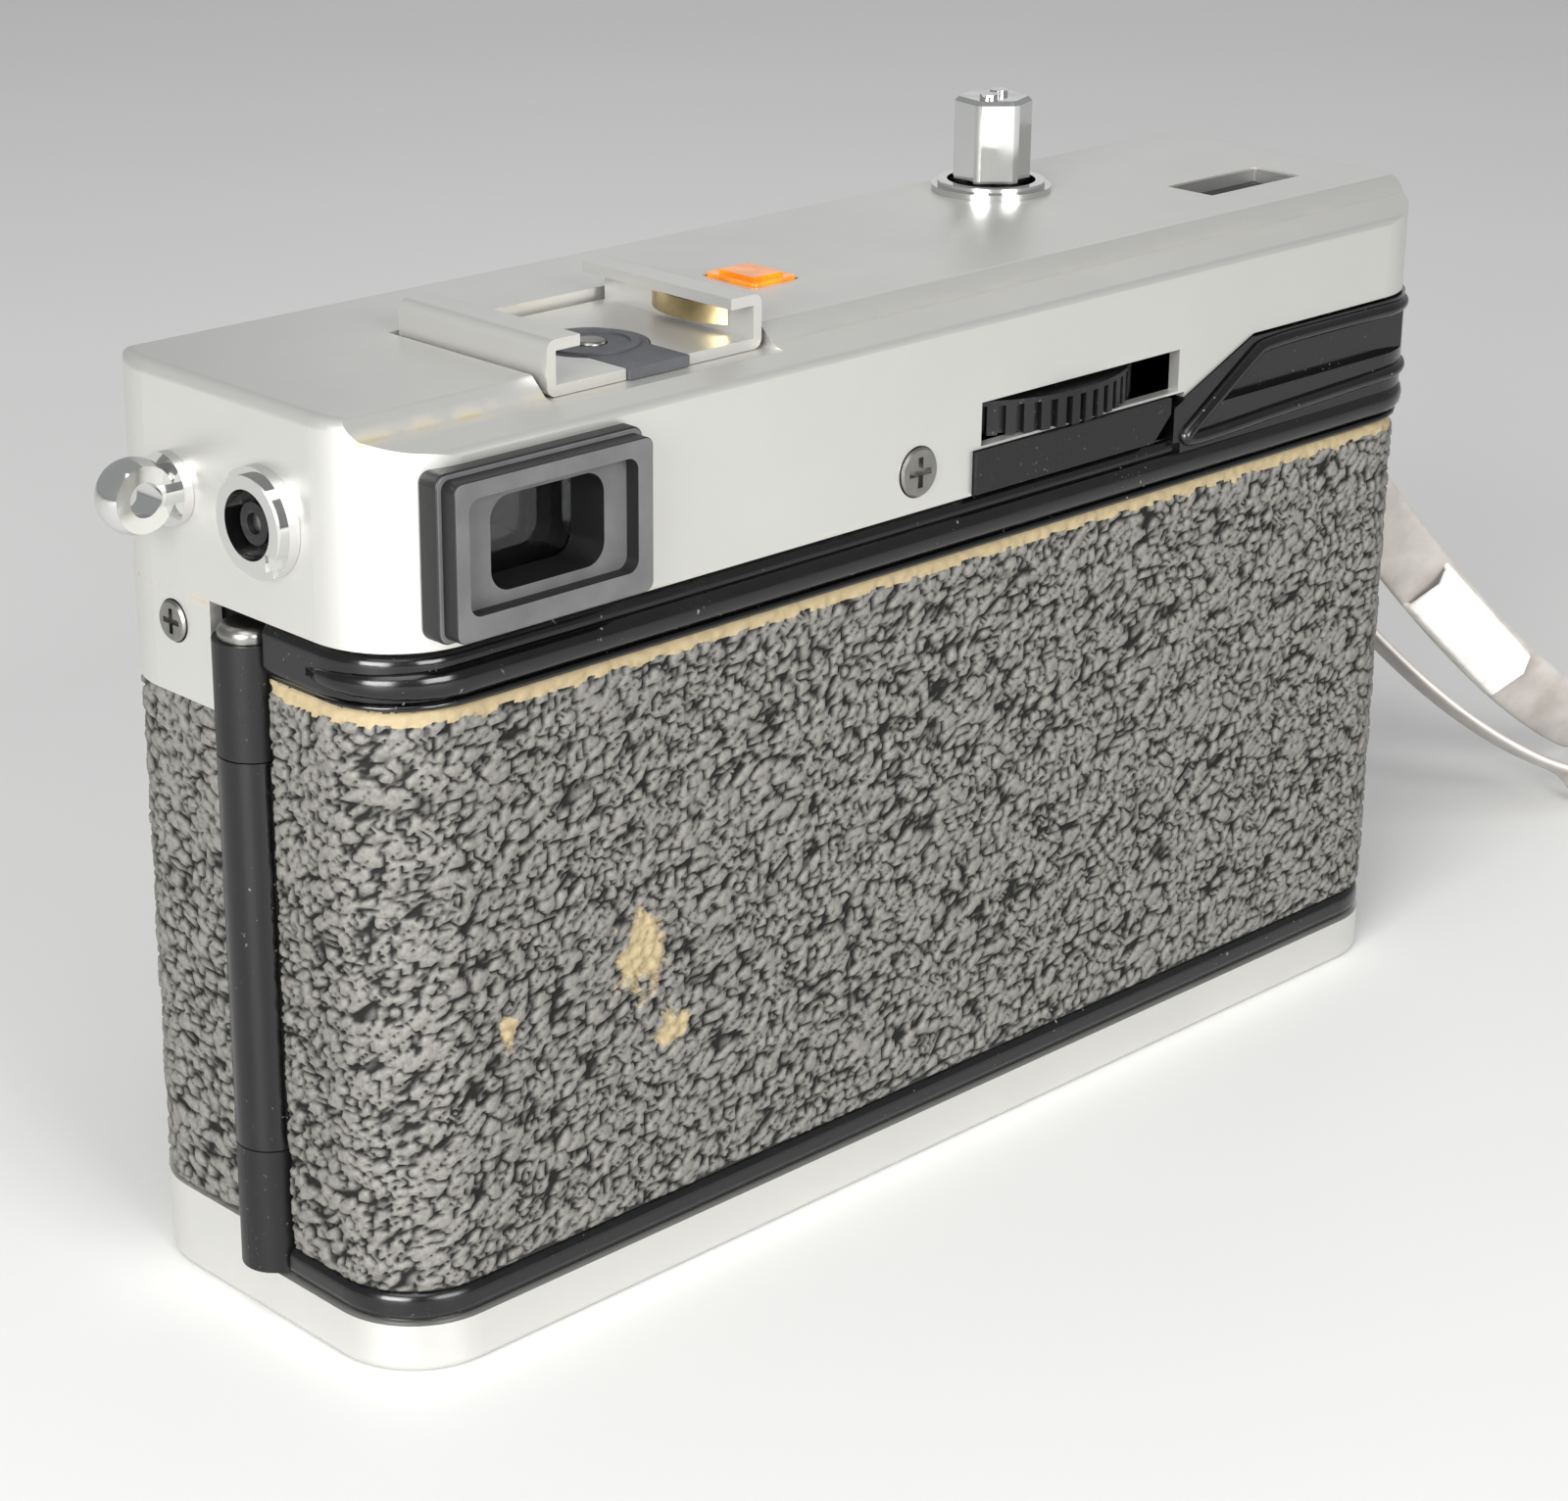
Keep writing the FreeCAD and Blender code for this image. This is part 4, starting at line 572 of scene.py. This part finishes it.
class CAMERA_OT_finishes(bpy.types.Operator):
    """Materials, and the finish of every piece that keeps its solid shape"""
    bl_idname = "camera_kit.finishes"
    bl_label = "Finishes"

    def execute(self, context):
        satin_plate(), polished_chrome(), glossy_moulding(), satin_moulding()
        finder_plate(), black_enamel(), leatherette(), cast_black(), amber_window(), counter_paint(), vinyl_band()
        coated_glass()
        clear_glass("clear_acrylic", "#F4F6F6", 0.02)
        smoked_window()
        plain_paint("orange_paint", tuple(colours().orange), 0.45)
        plain_paint("grey_moulding", tuple(colours().insulator), 0.5)
        plain_paint("white_moulding", tuple(colours().sleeve), 0.32)
        rolled_metal("turned_steel", colours().steel, "#7D7C78")
        rolled_metal("bronze_leaf", colours().spring, "#A08C5E")
        groups = {
            "satin_plate": ("top_cover", "bottom_plate", "accessory_shoe", "door_latch", "speed_ring",
                            "rewind_knob", "rewind_crank", "battery_cover"),
            "polished_chrome": ("release_collar", "release_button", "left_lug", "right_lug", "flash_socket",
                                "rewind_release", "strap_ring"),
            "turned_steel": ("hinge_pin", "pressure_springs", "shoe_contact", "release_spring", "flash_pin",
                             "sprocket", "rewind_fork", "tripod_socket", "battery", "cover_screws", "base_screws"),
            "bronze_leaf": ("shoe_spring",),
            "glossy_moulding": ("back_door",),
            "finder_plate": ("finder_frame",),
            "satin_moulding": ("hinge_knuckles", "finder_tube", "finder_bezel", "wheel_shield", "thumbwheel",
                               "flash_insulator", "pressure_plate", "take_up_spool"),
            "black_enamel": ("lens_base", "exposure_ring", "focus_ring", "lens_barrel", "lens_bezel",
                             "lens_cells", "shutter_plate", "shutter_blades"),
            "leatherette": ("front_leather", "door_leather"),
            "cast_black": ("chassis",),
            "grey_moulding": ("shoe_insulator",),
            "orange_paint": ("counter_index",),
            "amber_acrylic": ("lamp_window",),
            "counter_paint": ("counter_dial",),
            "clear_acrylic": ("eyepiece_lens", "finder_window"),
            "counter_acrylic": ("counter_window",),
            "coated_glass": ("meter_eye", "front_glass", "rear_glass"),
            "vinyl_band": ("strap_band",),
            "white_moulding": ("strap_sleeve",),
        }
        for finish, nodes in groups.items():
            for node in nodes:
                dress(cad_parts[node], bpy.data.materials[finish])
        return {"FINISHED"}


class CAMERA_OT_leather(bpy.types.Operator):
    """Grained leatherette on the door and round the front"""
    bl_idname = "camera_kit.leather"
    bl_label = "Leatherette"

    def execute(self, context):
        door_start, door_end = DOOR_START, DOOR_LOW.y
        spots = ((20.5, 25.0, 1.7), (33.0, 27.0, 4.2), (36.0, 20.0, 2.4))
        door = leather_sheet("door_leatherette", DOOR_LOW.z, DOOR_HIGH.z, door_start, door_end, 1, spots, True)
        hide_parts("door_leather")
        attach(door, "door")

        radius = 21.4 * MM

        def under_lens(p):
            return math.hypot(p.x - LENS_X, p.z - LENS_Z) < radius

        front = leather_sheet("front_leatherette", FRONT_LOW.z, FRONT_HIGH.z, -FRONT_HIGH.y, -FRONT_HIGH.y, -1,
                              (), False, under_lens)
        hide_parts("front_leather")
        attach(front, "camera")
        return {"FINISHED"}


DOOR_START = 3.2 * MM
TRIM_LEVEL_MM = 52.1


def on_door(x, z, proud):
    """Point standing proud of the door's outline, at x measured round the corners as if they were unrolled."""
    run = (HALF_DEPTH - CORNER_R - DOOR_START) + math.pi / 2 * CORNER_R + (HALF_LENGTH - CORNER_R) - x
    point, normal = outline_point(run, DOOR_START, 1)
    return point + normal * proud + Vector((0, 0, z))


def door_ridge(name, route, half_width, height, base):
    """Rounded rib moulded on the door, along a route of (x, z) in mm, fading out at both ends."""
    points = route_points([(x, 0.0, z) for x, z in route])
    count, around = len(points) - 1, 12
    bm = bmesh.new()
    bmesh.ops.create_grid(bm, x_segments=count, y_segments=around, size=0.5)
    for v in bm.verts:
        i = round((v.co.x + 0.5) * count)
        a = (v.co.y + 0.5) * math.tau
        along = (points[min(i + 1, count)] - points[max(i - 1, 0)]).normalized()
        fade = math.sqrt(min(1.0, i / 8, (count - i) / 8))
        side = math.cos(a) * half_width * MM * (0.25 + 0.75 * fade)
        rise = math.sin(a) * height * MM * fade
        v.co = on_door(points[i].x - along.z * side, points[i].z + along.x * side, base * MM + rise)
    bmesh.ops.remove_doubles(bm, verts=bm.verts, dist=1e-6)
    bmesh.ops.holes_fill(bm, edges=[e for e in bm.edges if e.is_boundary], sides=0)
    bmesh.ops.recalc_face_normals(bm, faces=bm.faces)
    rib = finish_mesh(bm, name, bpy.data.materials["glossy_moulding"])
    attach(rib, "door")
    return rib


class CAMERA_OT_door_ribs(bpy.types.Operator):
    """Rolled trim bead along the door and the ribs round its thumb rest"""
    bl_idname = "camera_kit.door_ribs"
    bl_label = "Door ribs"

    def execute(self, context):
        level = TRIM_LEVEL_MM
        door_ridge("trim_bead", ((63, level), (40, level), (0, level), (-30, level), (-45, level), (-62, level + 0.2)),
                   1.15, 0.75, -0.15)
        door_ridge("trim_lip", ((62, level - 1.5), (30, level - 1.5), (-30, level - 1.5), (-60, level - 1.4)),
                   0.3, 0.35, -0.1)
        door_ridge("thumb_rest_rib", ((-57.5, 60.2), (-45.0, 60.3), (-33.6, 60.3), (-32.4, 59.7), (-24.9, 55.0),
                                      (-23.8, 54.1), (-26.0, 53.9), (-36.0, 54.3), (-47.0, 54.6), (-57.5, 54.8)),
                   0.6, 0.65, 0.2)
        return {"FINISHED"}


# The band's route: out of the ring, down to the table, round the wrist loop and back to the ring.
BAND_ROUTE_MM = ((-61.7, -6.3, 52.6), (-75.5, 0.0, 30.0), (-108.5, 5.0, 1.3), (-133.0, 2.0, 1.0),
                 (-155.0, 2.0, 1.0), (-174.0, 17.0, 1.0), (-169.0, 40.0, 1.0), (-147.0, 47.0, 1.0),
                 (-125.0, 34.0, 1.0), (-101.0, 11.0, 1.2), (-84.5, 3.5, 11.0), (-68.0, -5.0, 30.0),
                 (-59.8, -6.3, 52.6))
BAND_SHOWN_WIDTH = Vector((-0.72, 0.41, 0.57))   # across the outer strand where it hangs
BAND_INNER_WIDTH = Vector((0.66, 0.66, 0.36))    # across the inner strand, which hangs a quarter turn round


def route_points(route):
    """Points along the smooth curve that has the route as its control points."""
    curve = bpy.data.curves.new("band_route", "CURVE")
    curve.dimensions = "3D"
    spline = curve.splines.new("NURBS")
    spline.points.add(len(route) - 1)
    for p, q in zip(spline.points, route):
        p.co = (q[0] * MM, q[1] * MM, q[2] * MM, 1)
    spline.order_u = 3
    spline.use_endpoint_u = True
    spline.resolution_u = 24
    holder = bpy.data.objects.new("band_route", curve)
    mesh = bpy.data.meshes.new_from_object(holder)
    points = [v.co.copy() for v in mesh.vertices]
    bpy.data.meshes.remove(mesh)
    bpy.data.objects.remove(holder)
    bpy.data.curves.remove(curve)
    return points


def band_frames(points):
    """At each point of the band: position, direction and the way across it."""
    frames = []
    for i, p in enumerate(points):
        along = (points[min(i + 1, len(points) - 1)] - points[max(i - 1, 0)]).normalized()
        lying = along.cross(Vector((0, 0, 1)))
        lying = lying.normalized() if lying.length > 0.3 else Vector((0, 1, 0))
        if i > len(points) / 2:
            hanging = BAND_INNER_WIDTH
        else:
            near_ring = min(1.0, max(0.0, (p.z - 40 * MM) / (12 * MM)))
            hanging = BAND_SHOWN_WIDTH.lerp(Vector((0, 1, 0)), near_ring)
        settle = min(1.0, max(0.0, (5.0 * MM - p.z) / (3.6 * MM)))
        settle = settle * settle * (3 - 2 * settle)
        across = hanging.lerp(lying, settle)
        across = (across - along * across.dot(along)).normalized()
        frames.append((p, along, across))
    return frames


class CAMERA_OT_strap(bpy.types.Operator):
    """Flat wrist band and its keeper sleeve"""
    bl_idname = "camera_kit.strap"
    bl_label = "Wrist strap"

    def execute(self, context):
        settings = context.scene.camera_band
        half, thick = settings.width / 2 * MM, settings.thickness / 2 * MM
        points = route_points(BAND_ROUTE_MM)
        frames = band_frames(points)
        around = 16
        bm = bmesh.new()
        bmesh.ops.create_grid(bm, x_segments=len(points) - 1, y_segments=around, size=0.5)
        edge = bm.verts.layers.float.new("edge")
        for v in bm.verts:
            i = round((v.co.x + 0.5) * (len(points) - 1))
            a = (v.co.y + 0.5) * math.tau
            p, along, across = frames[i]
            up = across.cross(along).normalized()
            c, s = math.cos(a), math.sin(a)
            side = half * math.copysign(abs(c) ** 0.35, c)
            rise = thick * math.copysign(abs(s) ** 0.8, s)
            # Marks both rounded edges of the band for a painted highlight in the material.
            v[edge] = 1.0 if abs(c) > 0.93 else 0.0
            v.co = p + across * side + up * rise
        bmesh.ops.remove_doubles(bm, verts=bm.verts, dist=1e-6)
        bmesh.ops.holes_fill(bm, edges=[e for e in bm.edges if e.is_boundary], sides=0)
        bmesh.ops.recalc_face_normals(bm, faces=bm.faces)
        band = finish_mesh(bm, "wrist_band", bpy.data.materials["vinyl_band"])
        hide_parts("strap_band")
        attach(band, "camera")

        sleeve = self.make_sleeve(frames)
        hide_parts("strap_sleeve")
        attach(sleeve, "camera")
        return {"FINISHED"}

    def make_sleeve(self, frames):
        """Moulded white sleeve, ridged along the middle of its face."""
        low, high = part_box("strap_sleeve")
        centre = (low + high) / 2
        p, along, across = min(frames, key=lambda f: (f[0] - centre).length)
        up = along.cross(across).normalized()
        section = ((3.1, -0.2), (2.7, 0.9), (1.0, 1.9), (-2.7, 1.1), (-3.1, 0.2), (-2.6, -1.1), (0.0, -1.5), (2.6, -1.2))
        bm = bmesh.new()
        bmesh.ops.create_circle(bm, cap_ends=False, segments=len(section), radius=1.0)
        for v in bm.verts:
            turn = round(math.atan2(v.co.y, v.co.x) / math.tau * len(section))
            v.co = Vector((0, *(c * MM for c in section[turn % len(section)])))
        ring = list(bm.edges)
        made = bmesh.ops.extrude_edge_only(bm, edges=ring)["geom"]
        bmesh.ops.translate(bm, verts=[g for g in made if isinstance(g, bmesh.types.BMVert)], vec=(17.0 * MM, 0, 0))
        bmesh.ops.translate(bm, verts=bm.verts, vec=(-8.5 * MM, 0, 0))
        bmesh.ops.recalc_face_normals(bm, faces=bm.faces)
        bmesh.ops.solidify(bm, geom=list(bm.faces), thickness=0.6 * MM)
        turn = Matrix((along, across, up)).transposed().to_4x4()
        bmesh.ops.transform(bm, matrix=Matrix.Translation(p) @ turn, verts=bm.verts)
        bmesh.ops.recalc_face_normals(bm, faces=bm.faces)
        sleeve = finish_mesh(bm, "keeper_sleeve", bpy.data.materials["white_moulding"])
        soft = sleeve.modifiers.new("soft_edges", "BEVEL")
        soft.width, soft.segments, soft.angle_limit = 0.25 * MM, 3, math.radians(50)
        return sleeve


class CAMERA_PT_panel(bpy.types.Panel):
    """Lists the steps in the sidebar"""
    bl_idname = "CAMERA_PT_panel"
    bl_label = "Compact camera"
    bl_space_type = "VIEW_3D"
    bl_region_type = "UI"
    bl_category = "Compact camera"

    def draw(self, context):
        for step in STEPS:
            self.layout.operator(step.bl_idname)


STEPS = (CAMERA_OT_stage, CAMERA_OT_finishes, CAMERA_OT_strap, CAMERA_OT_leather, CAMERA_OT_door_ribs)
GROUPS = {"camera_finish": CAMERA_PG_finish, "camera_grain": CAMERA_PG_grain,
          "camera_band": CAMERA_PG_band, "camera_studio": CAMERA_PG_studio}


def register():
    for cls in (*GROUPS.values(), *STEPS, CAMERA_PT_panel):
        bpy.utils.register_class(cls)
    for label, cls in GROUPS.items():
        setattr(bpy.types.Scene, label, bpy.props.PointerProperty(type=cls))


def unregister():
    for label in GROUPS:
        delattr(bpy.types.Scene, label)
    for cls in (CAMERA_PT_panel, *reversed(STEPS), *GROUPS.values()):
        bpy.utils.unregister_class(cls)


def main():
    register()
    for step in STEPS:
        group, name = step.bl_idname.split(".")
        getattr(getattr(bpy.ops, group), name)()


if __name__ == "__main__":
    main()
